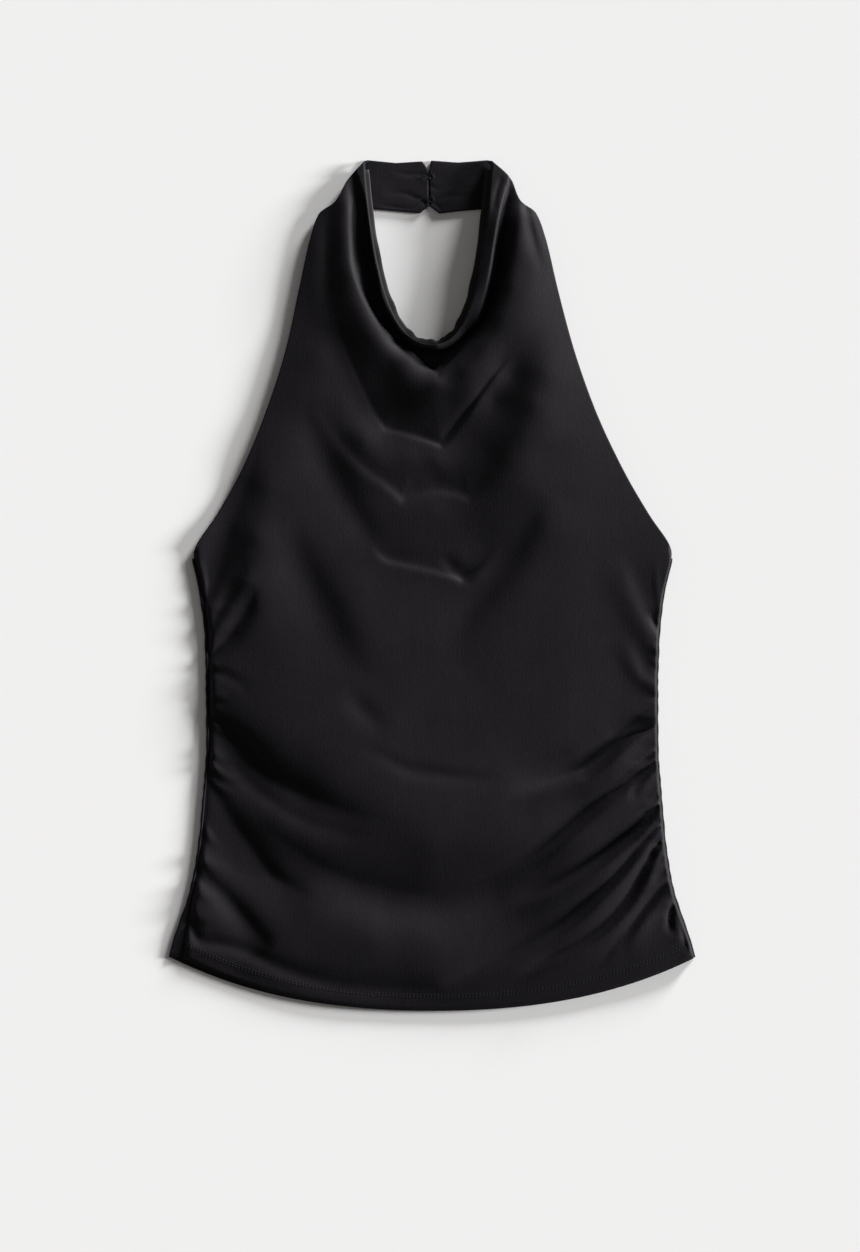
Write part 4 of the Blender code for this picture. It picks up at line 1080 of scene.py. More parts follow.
@dataclass
class TopShape:
    """The shape that all the top's pieces share: its sections, thicknesses and heights.

    near_pull, far_pull and far_rise place a section's inner control points as shares of its span
    and drop: for a shallow arc, and what a deep U adds. back_ends, band_starts and facing_ends
    are where each of these gives way to the next under the front.
    """

    cloth: float = 0.9
    solid_cloth: float = 1.2
    band_thickness: float = 2.0
    facing_thickness: float = 1.0
    seam_gap: float = 0.3
    left_roll: float = 0.5
    right_roll: float = 0.34
    near_pull: Point = (0.36, 0.18)
    far_pull: Point = (0.68, 0.16)
    far_rise: Point = (0.22, 0.05)
    back_ends: Point = (24.0, 62.0)
    band_starts: Point = (298.0, 309.0)
    facing_ends: Point = (4.0, 7.0)
    knots: np.ndarray = field(init=False)
    rows: int = field(init=False)

    def __post_init__(self) -> None:
        """Work out the rows on which the sections lie."""
        self.knots = np.cumsum([0] + [s.rows for s in SECTIONS[:-1]]).astype(float)
        self.rows = int(self.knots[-1])

    @property
    def over_back(self) -> float:
        """Height of what lies on the back panel."""
        return self.solid_cloth + self.seam_gap

    @property
    def over_band(self) -> float:
        """Height of what lies on the neckband."""
        return self.band_thickness + self.seam_gap

    @property
    def over_facing(self) -> float:
        """Height of what lies on the facing."""
        return self.over_band + self.facing_thickness + self.seam_gap

    def roll(self, values: dict, side: Numbers) -> np.ndarray:
        """Return the radius of the back panel's turn, tightest where the front hangs over it."""
        return values["roll"] * np.where(np.asarray(side) > 0, self.right_roll, self.left_roll)

    def seam_inset(self, values: dict, side: Numbers) -> np.ndarray:
        """Return how far in from the outline the side seam lies."""
        return self.roll(values, side) + np.where(np.asarray(side) < 0, values["wrap"], 0.0)

    def row_of(self, name: str) -> int:
        """Return the mesh row on which a section lies."""
        names = [s.name for s in SECTIONS]
        return int(self.knots[names.index(name)])

    def values(self, at: np.ndarray) -> dict[str, np.ndarray]:
        """Read the sections between their rows.

        Args:
            at: Mesh rows, with fractions.

        Returns:
            An array for each of the sections' sizes.
        """
        columns = [name for name in Section.__dataclass_fields__ if name not in ("name", "rows")]
        return {
            column: monotone(self.knots, np.array([getattr(s, column) for s in SECTIONS]), at)
            for column in columns
        }

    def section_points(self, values: dict, inset: Numbers, side: Numbers,
                       t: Numbers) -> tuple[np.ndarray, np.ndarray]:
        """Place points in plan on one half of a section.

        Args:
            values: The sections' sizes.
            inset: How far in from the outline the section ends.
            side: -1 for the left half and 1 for the right.
            t: 0 in the middle and 1 at the end.

        Returns:
            X and Y.
        """
        end_x = values["lean"] + side * (values["half"] - inset)
        span = end_x - values["mid_x"]
        drop = values["side_y"] - values["mid_y"]
        near_pull, far_pull, far_rise = (
            plain + deep * values["square"]
            for plain, deep in (self.near_pull, self.far_pull, self.far_rise)
        )
        near, far, end = 3 * (1 - t) ** 2 * t, 3 * (1 - t) * t**2, t**3
        x = values["mid_x"] + span * (near_pull * near + far_pull * far + end)
        y = values["mid_y"] + drop * (far_rise * far + end)
        return x, y

    def seam_row(self, seam_y: float) -> float:
        """Return the mesh row, with its fraction, at a height on the side seam."""
        rows = np.arange(self.row_of("underarm") + 1).astype(float)
        return float(np.interp(seam_y, self.values(rows)["side_y"], rows))

    def seam_point(self, seam_y: float, side: Side) -> tuple[float, float]:
        """Return the plan point of a side seam at a height."""
        values = self.values(np.array([self.seam_row(seam_y)]))
        x = values["lean"] + side.value * (values["half"] - self.seam_inset(values, side.value))
        return float(x[0]), seam_y

    def edge_route(self, side: Side) -> np.ndarray:
        """Return the outline of one armhole and neck side, from underarm to neckline."""
        rows = np.linspace(self.row_of("underarm"), self.rows, 90)
        values = self.values(rows)
        return np.column_stack([values["lean"] + side.value * values["half"], values["side_y"]])

    def neckline_route(self, steps: int = 46) -> np.ndarray:
        """Return the neckline from its left end, through the bottom, to its right end."""
        shares = np.linspace(0.0, 1.0, steps)
        values = self.values(np.full(steps, float(self.rows)))
        left = np.column_stack(self.section_points(values, 0.0, -1.0, shares[::-1]))
        right = np.column_stack(self.section_points(values, 0.0, 1.0, shares))
        return np.vstack([left, right[1:]])

    def under_front(self, y: np.ndarray, from_neckline: np.ndarray) -> np.ndarray:
        """Work out the height of what lies under the front panel.

        Args:
            y: Y of the panel's points.
            from_neckline: Their distance from the neckline.

        Returns:
            The top of the back panel, the surface, the neckband or the facing.
        """
        over_back = self.over_back * (1.0 - smooth_step(*self.back_ends, y))
        over_band = self.over_band * smooth_step(*self.band_starts, y)
        over_facing = self.over_facing * (1.0 - smooth_step(*self.facing_ends, from_neckline))
        return np.maximum(np.maximum(over_back, over_band), over_facing)


@dataclass
class GatherRow:
    """The gathers that one side seam draws into the cloth, long and short in turn.

    wander is how unevenly they follow one another, and shortest the least share of the fan's
    reach. Below each crest, by drop, lies a trough of a share, trough, of its height. Gathers
    widen by widening and flatten to a share, flattening, of their angle at their ends.
    """

    shape: TopShape
    side: Side
    fan: tuple[Fan, ...]
    count: int = 24
    wander: float = 0.32
    weakest: float = 0.44
    width: float = 3.3
    widening: float = 1.7
    shortest: float = 0.45
    drop: float = 4.6
    trough: float = 0.85
    flattening: float = 0.7

    def places(self) -> list[tuple[float, float]]:
        """Return each gather's height on the seam and its strength, both uneven."""
        top, bottom = self.fan[0].seam_y, self.fan[-1].seam_y
        made = []
        for k in range(self.count):
            share = (k + self.wander * math.sin(2.7 * k + 1.3 * self.side.value)) / (self.count - 1)
            swing = 0.5 * (1.0 - self.weakest)
            strength = 1.0 - swing + swing * math.sin(1.9 * k + 0.8 + self.side.value)
            made.append((top + (bottom - top) * min(max(share, 0.0), 1.0), strength))
        return made

    def folds(self) -> list[Fold]:
        """Return the gathers as folds: a soft crest and a sharper trough below it."""
        table = np.array([(f.seam_y, f.rise, f.reach, f.height) for f in reversed(self.fan)]).T
        width = ((0.0, self.width), (1.0, self.widening * self.width))
        made = []
        for k, (seam_y, strength) in enumerate(self.places()):
            rise, reach, height = (np.interp(seam_y, table[0], column) for column in table[1:])
            rise, height = math.radians(rise), strength * height
            reach *= self.shortest + (1 - self.shortest) * math.cos(2.4 * k + self.side.value) ** 2
            parts = (("crest", 0.0, height), ("trough", self.drop, -self.trough * height))
            for part, drop, lift in parts:
                x, y = self.shape.seam_point(seam_y - drop, self.side)
                inwards = -self.side.value * reach
                middle = (x + 0.5 * inwards * math.cos(rise), y + 0.5 * reach * math.sin(rise))
                turned = self.flattening * rise
                end = (x + inwards * math.cos(turned), y + reach * math.sin(turned))
                name = f"gather_{self.side.name.lower()}_{k}_{part}"
                made.append(crease(name, ((x, y), middle, end), ((0.0, lift), (1.0, 0.0)), width))
        return made


@dataclass
class Lay:
    """Points of the front in plan, and the sections' sizes at them.

    share is the share of the way from the middle to the end of the section. seam is 1 on rows
    that end at a side seam and 0 on rows that end at an armhole.
    """

    x: np.ndarray
    y: np.ndarray
    share: np.ndarray
    seam: np.ndarray
    values: dict[str, np.ndarray]


@dataclass
class FrontPanel:
    """The front: gathered at the sides, draped in a cowl, rolled over at the neckline.

    turned_under holds the angles of the columns that carry the armhole edge under the panel, and
    edge_columns how far in from the edge the columns beside it lie. The edge turns under by
    under_reach, by a share, seam_reach, of that along the seams, and by less, narrowed, beside
    the neck. onto_band is where its foot climbs onto the neckband. seam_dips and seam_depths are
    how wide and how deep the cloth dips into the left and the right seam. clearance is how far it
    stands off what lies under it, softness how gently it comes down to that, and crown how late
    it rises towards the sides. steepest and upright are slopes of its normals: the steepest that
    counts in its thickness, and the one under which an edge stands upright.
    """

    shape: TopShape
    material: bpy.types.Material
    turned_under: tuple[float, ...] = (90.0, 72.0, 54.0, 36.0, 18.0)
    edge_columns: tuple[float, ...] = (
        0.0, 0.3, 0.8, 1.6, 2.6, 3.8, 5.2, 7.0, 9.0, 11.2, 13.6, 16.2, 19.0, 22.0, 25.4, 29.0,
    )
    middle_columns: int = 72
    seam_dips: Point = (3.0, 1.0)
    seam_depths: Point = (0.5, 0.15)
    armhole_roll: float = 0.7
    under_reach: float = 8.0
    seam_reach: float = 0.04
    narrowed: float = 0.6
    beside_neck: Point = (300.0, 322.0)
    onto_band: Point = (322.0, 344.0)
    lowest_foot: float = 0.2
    neck_roll: float = 0.45
    ripple: float = 0.22
    clearance: float = 0.5
    softness: float = 0.5
    crown: float = 2.5
    steepest: float = 0.7
    upright: float = 0.5
    needle_room: float = 0.1

    @property
    def half_columns(self) -> int:
        """Number of columns on one side of the middle one."""
        return self.middle_columns + len(self.edge_columns) + len(self.turned_under) - 1

    def folds(self) -> list[Fold]:
        """Return every fold and gather of the panel."""
        made = list(COWL_FOLDS) + list(SWAG_FOLDS)
        made += GatherRow(self.shape, Side.LEFT, LEFT_FAN).folds()
        made += GatherRow(self.shape, Side.RIGHT, RIGHT_FAN).folds()
        return made

    def ripples(self, x: np.ndarray, y: np.ndarray) -> np.ndarray:
        """Return the slight unevenness that keeps jersey from lying like a board."""
        waves = np.sin(x / 23.0 + 1.3 * np.sin(y / 41.0)) * np.sin(y / 29.0 + 0.7)
        short = np.sin(x / 9.5 - y / 15.0 + 0.8 * np.sin(y / 12.0)) * np.sin(x / 31.0 + y / 19.0)
        return self.ripple * (waves + 0.35 * short)

    def sheet(self) -> GradedSheet:
        """Return the panel's grid, which is finest in the cowl and coarsest in the plain middle."""
        half = self.half_columns
        edge = self.middle_columns + len(self.edge_columns)
        gathered, plain = self.shape.row_of("underarm"), self.shape.row_of("ribs")

        def keep(row: int, column: int) -> bool:
            """Say whether a point stays."""
            from_middle = abs(column - half)
            if row >= gathered or row == 0:
                return from_middle < edge or row >= gathered
            by_seam = from_middle >= self.middle_columns
            return from_middle < edge and row % (2 if by_seam or row < plain else 4) == 0

        return GradedSheet(self.shape.rows, 2 * half + 1, keep)

    def plan(self, sheet: GradedSheet) -> Lay:
        """Place the points of the panel's grid in plan.

        Args:
            sheet: The grid.

        Returns:
            Its points in plan.
        """
        shape = self.shape
        seam_ends = shape.row_of("underarm"), shape.row_of("armhole_foot")
        seam = 1.0 - smooth_step(*seam_ends, sheet.row)
        offset = sheet.column - self.half_columns
        side = np.where(offset < 0, -1.0, 1.0)
        values = shape.values(sheet.row)
        inset = seam * (shape.seam_inset(values, side) + self.needle_room)
        end = shape.section_points(values, inset, side, 1.0)
        near = shape.section_points(values, inset, side, 1.0 - END_STEP)
        speed = np.hypot(end[0] - near[0], end[1] - near[1]) / END_STEP
        index = np.abs(offset)
        last_edge = 1.0 - self.edge_columns[-1] / speed
        steps = np.linspace(0.0, 1.0, self.middle_columns + 1)[:-1]
        others = np.zeros(len(self.edge_columns) + len(self.turned_under))
        middle = np.concatenate([steps, others])[index] * last_edge
        under = [0.0] * len(self.turned_under)
        edges = np.concatenate([np.zeros(self.middle_columns), self.edge_columns[::-1], under])[index]
        share = np.where(index < self.middle_columns, middle, 1.0 - edges / speed)
        return Lay(*shape.section_points(values, inset, side, share), share, seam, values)

    def turn_under(self, sheet: GradedSheet, lay: Lay, points: np.ndarray) -> None:
        """Carry the armhole edges under the panel, down to what it lies on.

        Args:
            sheet: The panel's grid.
            lay: Its points in plan.
            points: Its points in space, whose turned-under columns lie on the edge so far.
        """
        index = np.abs(sheet.column - self.half_columns)
        edge = self.middle_columns + len(self.edge_columns)
        under = index >= edge
        angles = np.radians(self.turned_under[::-1])[index[under] - edge]
        x, y, z = points[under].T
        foot = (self.shape.over_band + self.shape.solid_cloth) * smooth_step(*self.onto_band, y)
        foot = np.minimum(np.maximum(foot, self.lowest_foot), z)
        free = self.seam_reach + (1.0 - self.seam_reach) * (1.0 - lay.seam[under])
        reach = self.under_reach * free * (1.0 - np.cos(angles))
        reach *= 1.0 - self.narrowed * smooth_step(*self.beside_neck, y)
        points[under, 0] = x - np.sign(x) * reach
        points[under, 2] = z - (z - foot) * np.sin(angles)

    def heights(self, lay: Lay) -> np.ndarray:
        """Work out the height of the panel's outer side.

        Args:
            lay: Its points in plan.

        Returns:
            Z of the points.
        """
        shape, x, y, values = self.shape, lay.x, lay.y, lay.values
        base = values["mid_lift"] + (values["side_lift"] - values["mid_lift"]) * lay.share**self.crown
        lift = base + self.ripples(x, y)
        lift = lift + Relief(EDGE_SPOTS + CREST_SPOTS + HOLLOW_SPOTS).lift(x, y)
        for fold in self.folds():
            lift = lift + fold.lift(x, y)
        neckline = measure(shape.neckline_route(), x, y)
        under = shape.under_front(y, neckline.away)
        clear = shape.over_back + lift - under - self.clearance
        settled = 0.5 * (clear + np.sqrt(clear**2 + self.softness))
        z = shape.solid_cloth + under + self.clearance + settled
        from_end = (1.0 - lay.share) * values["half"]
        dip, depth = (np.where(x > 0, right, left) for left, right in (self.seam_dips, self.seam_depths))
        seam_z = 2.0 * shape.roll(values, x) - depth
        z = z + lay.seam * (seam_z - z) * np.exp(-((from_end / dip) ** 2))
        for side in Side:
            away = measure(shape.edge_route(side), x, y).away
            z = z - (1.0 - lay.seam) * self.armhole_roll * (1.0 - quarter_turn(away, self.armhole_roll))
        foot = shape.over_facing + shape.solid_cloth
        rolled = foot + (z - foot) * quarter_turn(neckline.away, self.neck_roll)
        return np.where(neckline.away < self.neck_roll, np.maximum(rolled, foot), z)

    def inner_side(self, outer: np.ndarray, faces: np.ndarray, lay: Lay) -> np.ndarray:
        """Place the inner side: straight below the outer one, but across it at the armholes.

        Args:
            outer: Points of the outer side.
            faces: Its triangles.
            lay: Its points in plan, before the armhole edges were turned under.

        Returns:
            The matching points of the inner side.
        """
        x, y, _ = outer.T
        shape = self.shape
        normals = even_normals(outer, faces)
        below = outer.copy()
        below[:, 2] -= shape.cloth / np.maximum(normals[:, 2], self.steepest)
        from_neckline = measure(shape.neckline_route(), x, y).away
        below[:, 2] = np.maximum(below[:, 2], shape.under_front(y, from_neckline))
        across = outer - shape.cloth * normals
        across[:, 2] = np.maximum(across[:, 2], 0.0)
        away = np.minimum(*(measure(shape.edge_route(side), x, y).away for side in Side))
        near = 1.0 - smooth_step(self.armhole_roll, 3.0 * self.armhole_roll, away)
        near = np.where(normals[:, 2] < self.upright, 1.0, near)
        return below + ((1.0 - lay.seam) * near)[:, None] * (across - below)

    def build(self) -> bpy.types.Object:
        """Make the panel, stand it in for its solid and return it."""
        sheet = self.sheet()
        lay = self.plan(sheet)
        outer = np.column_stack([lay.x, lay.y, self.heights(lay)])
        self.turn_under(sheet, lay, outer)
        faces = sheet.faces(outer)
        piece = wall("front_cloth", outer, self.inner_side(outer, faces, lay), faces, self.material)
        return stand_in(piece, "front_panel")


@dataclass
class BackPanel:
    """The back: flat on the surface, rolled up round the sides to the gathered seams.

    On the left it runs on over the top to the seam, where edge_width of it dips by edge_dip.
    """

    shape: TopShape
    material: bpy.types.Material
    neck_dip: float = 12.0
    flat_columns: int = 41
    turn_columns: int = 13
    pucker: float = 0.2
    edge_width: float = 0.45
    edge_dip: float = 0.3
    shoulder_dip: float = 0.1

    def puckers(self, y: np.ndarray, side: Side) -> np.ndarray:
        """Return how far the gathered seam swells and pinches the roll."""
        top, bottom = LEFT_FAN[0].seam_y, LEFT_FAN[-1].seam_y
        drawn = smooth_step(top + 4.0, top - 16.0, y) * smooth_step(bottom - 6.0, bottom + 12.0, y)
        uneven = np.sin(y / 2.15 + 1.7 * np.sin(y / 13.0) + side.value)
        return self.pucker * drawn * (uneven + 0.5 * np.sin(y / 5.3 + side.value))

    def build(self) -> bpy.types.Object:
        """Make the panel, stand it in for its solid and return it."""
        shape = self.shape
        top_row = shape.row_of("underarm")
        rows = np.linspace(0.0, top_row, top_row // 2 + 1)
        values = shape.values(rows)
        to_top = smooth_step(0.0, 1.0, rows / top_row)
        values["mid_y"] += (values["side_y"] - self.neck_dip - values["mid_y"]) * to_top
        level = np.zeros(len(rows))
        turns = np.radians(np.linspace(0.0, 180.0, self.turn_columns))[1:]
        columns, normals = [], []

        def add(x: np.ndarray, y: np.ndarray, z: np.ndarray, normal: Colour) -> None:
            """Add a column of points with one normal."""
            columns.append(np.column_stack([x, y, z]))
            normals.append(np.tile(normal, (len(rows), 1)))

        def turn(side: Side, angles: np.ndarray) -> None:
            """Add the columns of the roll round one side."""
            roll = shape.roll(values, side.value)
            end_x = values["lean"] + side.value * (values["half"] - roll)
            for angle in angles:
                x = end_x + side.value * (roll + self.puckers(values["side_y"], side)) * math.sin(angle)
                z = roll * (1.0 - math.cos(angle))
                add(x, values["side_y"], z, (side.value * math.sin(angle), 0.0, -math.cos(angle)))

        left_roll = shape.roll(values, Side.LEFT.value)
        seam_x = values["lean"] - values["half"] + left_roll + values["wrap"]
        for inset, dip in ((0.0, self.edge_dip), (self.edge_width, self.shoulder_dip)):
            add(seam_x - inset, values["side_y"], 2.0 * left_roll - dip, (0.0, 0.0, 1.0))
        turn(Side.LEFT, turns[::-1])
        for share in np.linspace(-1.0, 1.0, self.flat_columns):
            side = -1.0 if share < 0 else 1.0
            x, y = shape.section_points(values, shape.roll(values, side), side, abs(share))
            add(x, y, level, (0.0, 0.0, -1.0))
        turn(Side.RIGHT, turns)
        outer = np.vstack(columns)
        inner = outer - shape.cloth * np.vstack(normals)
        faces = grid_faces(len(columns), len(rows))[:, ::-1]
        return stand_in(wall("back_cloth", outer, inner, faces, self.material), "back_panel")


@dataclass
class NeckbandHalf:
    """One half of the neckband: double cloth, creased, flat behind the neck.

    edge_height is the height of its rolled edges, lowest and highest bound its creases, and
    underside is how far its lower side stands off the surface.
    """

    side: Side
    top_edge: Route
    bottom_edge: Route
    creases: tuple[Fold, ...]
    material: bpy.types.Material
    thickness: float = 2.0
    edge_roll: float = 0.9
    edge_height: float = 0.35
    lowest: float = -0.9
    highest: float = 0.28
    unevenness: float = 0.12
    underside: float = 0.05
    rows: int = 36
    columns: int = 60

    def build(self) -> bpy.types.Object:
        """Make the half, stand it in for its solid and return it."""
        name = f"neckband_{self.side.name.lower()}"
        shares = np.linspace(0.0, 1.0, self.columns)
        top, bottom = self.edge(self.top_edge, shares), self.edge(self.bottom_edge, shares)
        up = 0.5 - 0.5 * np.cos(np.linspace(0.0, math.pi, self.rows))
        plan = bottom[:, None, :] + (top - bottom)[:, None, :] * up[None, :, None]
        x, y = plan[..., 0].ravel(), plan[..., 1].ravel()
        outline = np.vstack([bottom, top[::-1], bottom[:1]])
        away = measure(outline, x, y).away
        lift = self.unevenness * np.sin(x / 7.0 + y / 9.0) * np.sin(y / 6.0)
        for mark in self.creases:
            lift = lift + mark.lift(x, y)
        level = self.thickness + np.clip(lift, self.lowest, self.highest)
        z = self.edge_height + (level - self.edge_height) * quarter_turn(away, self.edge_roll)
        outer = np.column_stack([x, y, z])
        inner = np.column_stack([x, y, np.full(len(x), self.underside)])
        faces = grid_faces(self.columns, self.rows)
        return stand_in(wall(f"{name}_cloth", outer, inner, faces, self.material), name)

    def edge(self, points: Route, shares: np.ndarray) -> np.ndarray:
        """Read an edge of the band.

        Args:
            points: Its corner points from left to right.
            shares: Shares of its length.

        Returns:
            Plan points at those shares.
        """
        p = np.array(points, float)
        lengths = np.concatenate([[0.0], np.cumsum(np.hypot(*np.diff(p, axis=0).T))])
        at = shares * lengths[-1]
        return np.column_stack([np.interp(at, lengths, p[:, k]) for k in range(2)])


@dataclass
class NeckFacing:
    """The strip inside the neckline, whose edge waves a little.

    shows is how much of it shows at the left end, the bottom and the right end, and tuck how far
    it runs on under the front. Its free edge waves by wave in plan and by curl in height, and
    hangs by droop.
    """

    shape: TopShape
    material: bpy.types.Material
    shows: tuple[float, float, float] = (2.8, 4.4, 4.6)
    tuck: float = 3.2
    wave: float = 0.55
    curl: float = 0.25
    droop: float = 0.45
    cloth: float = 0.7
    columns: int = 9

    def build(self) -> bpy.types.Object:
        """Make the strip, stand it in for its solid and return it."""
        shape = self.shape
        route = shape.neckline_route(90)[2:-2]
        tangent = np.gradient(route, axis=0)
        tangent /= np.hypot(tangent[:, 0], tangent[:, 1])[:, None]
        inwards = np.column_stack([-tangent[:, 1], tangent[:, 0]])
        place = np.linspace(0.0, 2.0, len(route))
        lengths = np.arange(len(route))
        waves = np.sin(lengths / 3.1) + 0.6 * np.sin(lengths / 1.7 + 1.0)
        low = np.exp(-(((place - 1.0) / 0.45) ** 2))
        shows = np.interp(place, (0, 1, 2), self.shows) + self.wave * waves * (0.35 + low)
        columns = []
        for share in np.linspace(0.0, 1.0, self.columns):
            reach = shows * (1.0 - share) - self.tuck * share
            plan = route + inwards * reach[:, None]
            lift = self.curl * waves * (1.0 - share) ** 2 - self.droop * (1.0 - share) ** 4
            columns.append(np.column_stack([plan, shape.over_band + shape.facing_thickness + lift]))
        top = np.vstack(columns)
        bottom = top - np.array([0.0, 0.0, self.cloth])
        faces = grid_faces(self.columns, len(route))
        piece = wall("neck_facing_cloth", top, bottom, faces, self.material)
        return stand_in(piece, "neck_facing")


@dataclass
class Fastening:
    """A hook on the left half of the neckband and the eye that it holds on the right half.

    The hook's wire starts beside its shank, by gap, turns back at its left end and bends up by
    hook_rise over the join. The eye is an open ring that spans eye_turn degrees either way.
    """

    level: str
    y: float
    base_z: float
    material: bpy.types.Material
    join_x: float = -2.7
    wire: float = 0.35
    hook_length: float = 8.0
    hook_rise: float = 1.1
    gap: float = 0.9
    eye_radius: float = 2.2
    eye_turn: int = 140
    eye_step: int = 14

    def bend(self, name: str, points: list[Spot]) -> bpy.types.Object:
        """Bend a wire through points.

        Args:
            name: Name of the node that the wire stands in for.
            points: Its points, in millimetres.

        Returns:
            The wire.
        """
        curve = bpy.data.curves.new(f"{name}_wire", "CURVE")
        curve.dimensions = "3D"
        curve.bevel_depth = self.wire * MM
        curve.bevel_resolution = 4
        curve.use_fill_caps = True
        spline = curve.splines.new("NURBS")
        spline.points.add(len(points) - 1)
        for point, place in zip(spline.points, points):
            point.co = (*(c * MM for c in place), 1.0)
        spline.use_endpoint_u = True
        spline.order_u = 3
        curve.materials.append(self.material)
        return stand_in(add_object(f"{name}_wire", curve), name)

    def build(self) -> list[bpy.types.Object]:
        """Make the hook and the eye and return them."""
        low = self.base_z + self.wire
        high = low + self.hook_rise
        start = self.join_x - self.hook_length
        hook = [
            (start + 0.6, self.y - self.gap, low), (start, self.y - self.gap, low),
            (start - 0.3, self.y, low),
            (start + 0.5, self.y + 0.3, low), (self.join_x - 4.0, self.y, low),
            (self.join_x - 1.8, self.y, high), (self.join_x + 1.4, self.y, high),
        ]
        centre_x, radius = self.join_x + self.eye_radius, self.eye_radius
        degrees = range(-self.eye_turn, self.eye_turn + 1, self.eye_step)
        angles = [math.radians(turn) for turn in degrees]
        eye = [(centre_x + radius * math.cos(a), self.y + radius * math.sin(a), low) for a in angles]
        return [self.bend(f"hook_{self.level}", hook), self.bend(f"eye_{self.level}", eye)]


@dataclass
class HemStitching:
    """Twin rows of stitches that hold the turned-up hem of the front panel.

    The rows lie above_edge and end at a share, end, of the way to the seams. Each row is read at
    steps points on either side of the middle, and each stitch has rings of sides points.
    """

    front: FrontPanel
    material: bpy.types.Material
    above_edge: Point = (11.6, 13.8)
    pitch: float = 2.9
    length: float = 2.2
    thread: float = 0.26
    sunk: float = 0.02
    end: float = 0.985
    steps: int = 900
    sides: int = 6
    rings: int = 5

    def line(self, height: float) -> np.ndarray:
        """Return points along a stitch line, a stitch apart.

        Args:
            height: How far above the hem's edge the line runs.

        Returns:
            Points on the cloth, in millimetres.
        """
        shape = self.front.shape
        hem_height = SECTIONS[1].mid_y - SECTIONS[0].mid_y
        outwards = np.linspace(0.0, self.end, self.steps)
        share = np.concatenate([outwards[::-1], outwards[1:]])
        side = np.repeat([-1.0, 1.0], [self.steps, self.steps - 1])
        rows = np.full(len(share), height / hem_height * SECTIONS[0].rows)
        values = shape.values(rows)
        x, y = shape.section_points(values, shape.seam_inset(values, side), side, share)
        lay = Lay(x, y, share, np.ones(len(share)), values)
        points = np.column_stack([x, y, self.front.heights(lay)])
        far = np.concatenate([[0.0], np.cumsum(np.linalg.norm(np.diff(points, axis=0), axis=1))])
        at = np.arange(0.0, far[-1], self.pitch / 2.0)
        return np.column_stack([np.interp(at, far, points[:, k]) for k in range(3)])

    def build(self) -> bpy.types.Object:
        """Make all stitches as one joined piece and return it."""
        points: list[np.ndarray] = []
        faces: list[list[int]] = []
        for height in self.above_edge:
            line = self.line(height)
            for start, stop in zip(line[0:-1:2], line[1::2]):
                self.add_stitch(start, stop, points, faces)
        piece = new_piece("hem_stitches", np.vstack(points), faces, self.material)
        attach(piece, "root")
        return piece

    def add_stitch(self, start: np.ndarray, stop: np.ndarray, points: list, faces: list) -> None:
        """Add one stitch: a short thread that dips into the cloth at both ends.

        Args:
            start: Where the stitch comes out of the cloth.
            stop: Where it goes back in.
            points: Points made so far.
            faces: Faces made so far.
        """
        forwards = (stop - start) / np.linalg.norm(stop - start)
        across = np.cross(forwards, (0.0, 0.0, 1.0))
        base = sum(len(p) for p in points)
        sides, last = self.sides, (self.rings - 1) * self.sides
        angles = np.arange(sides) * 2 * math.pi / sides
        for ring in range(self.rings):
            share = ring / (self.rings - 1)
            swell = math.sin(math.pi * (0.08 + 0.84 * share))
            lift = self.thread * (1.3 * swell - 0.7) - self.sunk
            radius = self.thread * (0.45 + 0.55 * swell)
            circle = start + forwards * self.length * share + radius * np.outer(np.cos(angles), across)
            circle[:, 2] += lift + radius * np.sin(angles)
            points.append(circle)
        for first in range(base, base + last, sides):
            for k in range(sides):
                a, b = first + k, first + (k + 1) % sides
                faces.append([a, b, b + sides, a + sides])
        faces.append([base + k for k in range(sides)][::-1])
        faces.append([base + last + k for k in range(sides)])


@dataclass(frozen=True)
class SoftSun:
    """A far, soft light: its direction and height over the paper in degrees, and its spread."""

    name: str
    towards: float
    height: float
    spread: float
    strength: float
    colour: Colour

    def hang(self) -> None:
        """Add the light to the scene."""
        light = bpy.data.lights.new(self.name, "SUN")
        light.energy = self.strength
        light.angle = math.radians(self.spread)
        light.color = self.colour
        turn, height = math.radians(self.towards), math.radians(self.height)
        flat = math.cos(height)
        source = Vector((flat * math.cos(turn), flat * math.sin(turn), math.sin(height)))
        add_object(self.name, light).rotation_euler = source.to_track_quat("Z", "Y").to_euler()


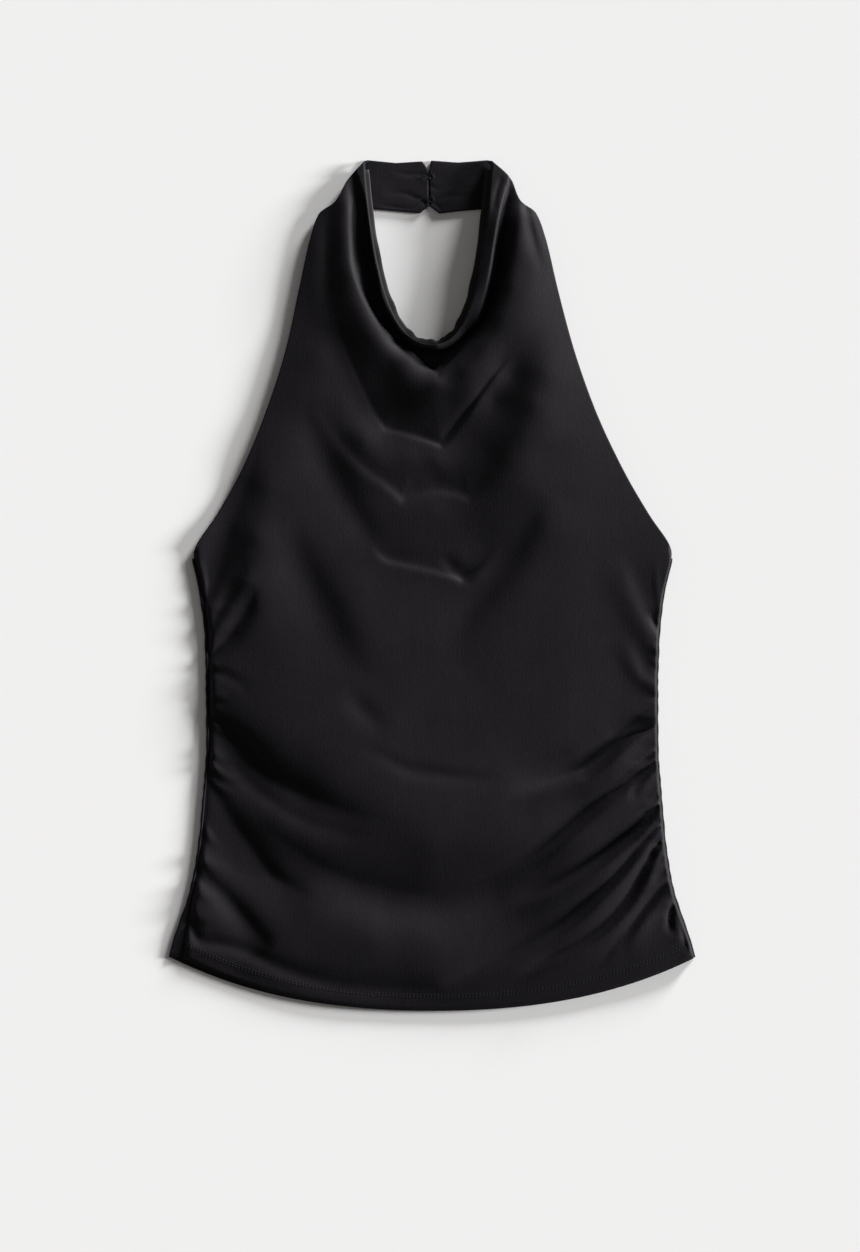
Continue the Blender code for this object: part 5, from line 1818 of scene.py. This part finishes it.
@dataclass
class Studio:
    """White paper, low soft light from the right and the upper right, and an even fill.

    Its lengths are in metres, but for the lens and the sensor. aim is the middle of the view.
    """

    paper_size: float = 6.0
    paper_cells: int = 8
    paper_depth: float = -0.0006
    suns: tuple[SoftSun, ...] = (
        SoftSun("key", 7.0, 13.0, 13.0, 7.7, (1.0, 0.997, 0.997)),
        SoftSun("side_key", 54.0, 12.0, 13.0, 6.0, (1.0, 0.997, 0.997)),
    )
    fill_colour: Colour = (1.0, 0.96, 0.93)
    fill_strength: float = 0.15
    lens: float = 100.0
    sensor: float = 36.0
    view_height: float = 1.0433
    aim: tuple[float, float] = (-0.00167, -0.0342)

    def lay_paper(self) -> None:
        """Lay the paper under the top."""
        cells, place = self.paper_cells, (0.0, 0.0, self.paper_depth)
        bpy.ops.mesh.primitive_grid_add(
            x_subdivisions=cells, y_subdivisions=cells, size=self.paper_size, location=place
        )
        paper = bpy.context.object
        paper.name = "paper"
        paper.data.materials.append(SeamlessPaper().build())

    def light(self) -> None:
        """Hang the low lights and set the fill."""
        for sun in self.suns:
            sun.hang()
        world = bpy.data.worlds.new("fill")
        world.use_nodes = True
        sky = world.node_tree.nodes["Background"]
        sky.inputs["Color"].default_value = (*self.fill_colour, 1.0)
        sky.inputs["Strength"].default_value = self.fill_strength
        bpy.context.scene.world = world

    def grade(self) -> None:
        """Show light values as they are, with no film curve."""
        view = bpy.context.scene.view_settings
        view.view_transform = "Standard"
        view.look = "None"
        view.exposure = 0.0
        view.gamma = 1.0

    def place_camera(self) -> None:
        """Hang the camera straight above the top, with the neck up."""
        lens = bpy.data.cameras.new("camera")
        lens.lens = self.lens
        lens.sensor_width = self.sensor
        camera = add_object("camera", lens)
        camera.location = (*self.aim, self.view_height * self.lens / self.sensor)
        bpy.context.scene.camera = camera


def neckband_halves(material: bpy.types.Material) -> list[NeckbandHalf]:
    """Describe both halves of the neckband.

    Args:
        material: The cloth's material.

    Returns:
        The left half and the right half.
    """
    left = NeckbandHalf(
        Side.LEFT,
        ((-65.5, 338.5), (-54.3, 354.0), (-30.0, 351.6), (-8.0, 353.0), (-2.7, 345.0)),
        ((-73.0, 317.5), (-60.0, 315.5), (-45.0, 312.8), (-10.0, 309.6), (-2.3, 315.8)),
        (
            crease("upper_crease", ((-34, 345), (-22, 342), (-10, 341.5)),
                   ((0, 0), (0.5, -0.5), (1, -0.8)), ((0, 2),)),
            crease("middle_crease", ((-42, 327), (-24, 326), (-13, 322), (-6, 317.5)),
                   ((0, 0), (0.4, -0.5), (1, -0.9)), ((0, 2.2),)),
            crease("low_crease", ((-46, 317), (-30, 314.5), (-12, 313)),
                   ((0, 0), (0.5, -0.4), (1, 0)), ((0, 1.6),)),
            crease("hook_pucker", ((-12, 343), (-7, 342), (-3, 341)), ((0, 0), (1, -0.9)), ((0, 2.4),)),
        ),
        material,
    )
    right = NeckbandHalf(
        Side.RIGHT,
        ((-2.5, 345.0), (-1.0, 353.6), (22.0, 352.0), (47.3, 354.0), (60.5, 338.5)),
        ((-2.1, 315.8), (6.0, 309.4), (24.0, 311.5), (46.0, 313.2), (67.0, 317.0)),
        (
            crease("low_crease", ((3, 320), (14, 324), (30, 324)),
                   ((0, -0.5), (0.4, -0.45), (1, 0)), ((0, 2.4),)),
            crease("eye_pucker", ((-1, 332), (5, 330), (10, 331)), ((0, -0.6), (1, 0)), ((0, 2.0),)),
            crease("corner_pucker", ((-1, 318), (4, 316), (8, 311)), ((0, -0.6), (1, -0.2)), ((0, 2.0),)),
        ),
        material,
    )
    return [left, right]


def main() -> None:
    """Build the top and its studio in order."""
    logging.basicConfig(level=logging.INFO, format="%(name)s: %(message)s")
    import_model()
    shape = TopShape()
    satin = SatinJersey().build()
    front_panel = FrontPanel(shape, satin)
    front = front_panel.build()
    LOG.info("front panel: %d faces", len(front.data.polygons))
    back = BackPanel(shape, satin).build()
    LOG.info("back panel: %d faces", len(back.data.polygons))
    bands = [half.build() for half in neckband_halves(satin)]
    LOG.info("neckband: %d faces", sum(len(band.data.polygons) for band in bands))
    facing = NeckFacing(shape, ReverseJersey().build()).build()
    LOG.info("neck facing: %d faces", len(facing.data.polygons))
    wire = LacqueredWire().build()
    for level, y in FASTENING_HEIGHTS:
        Fastening(level, y, shape.over_band, wire).build()
        LOG.info("%s hook and eye", level)
    stitches = HemStitching(front_panel, SewingThread().build()).build()
    LOG.info("hem stitches: %d faces", len(stitches.data.polygons))
    studio = Studio()
    studio.lay_paper()
    studio.light()
    studio.grade()
    studio.place_camera()
    LOG.info("studio: paper, %d lights and a camera", len(studio.suns))


if __name__ == "__main__":
    main()
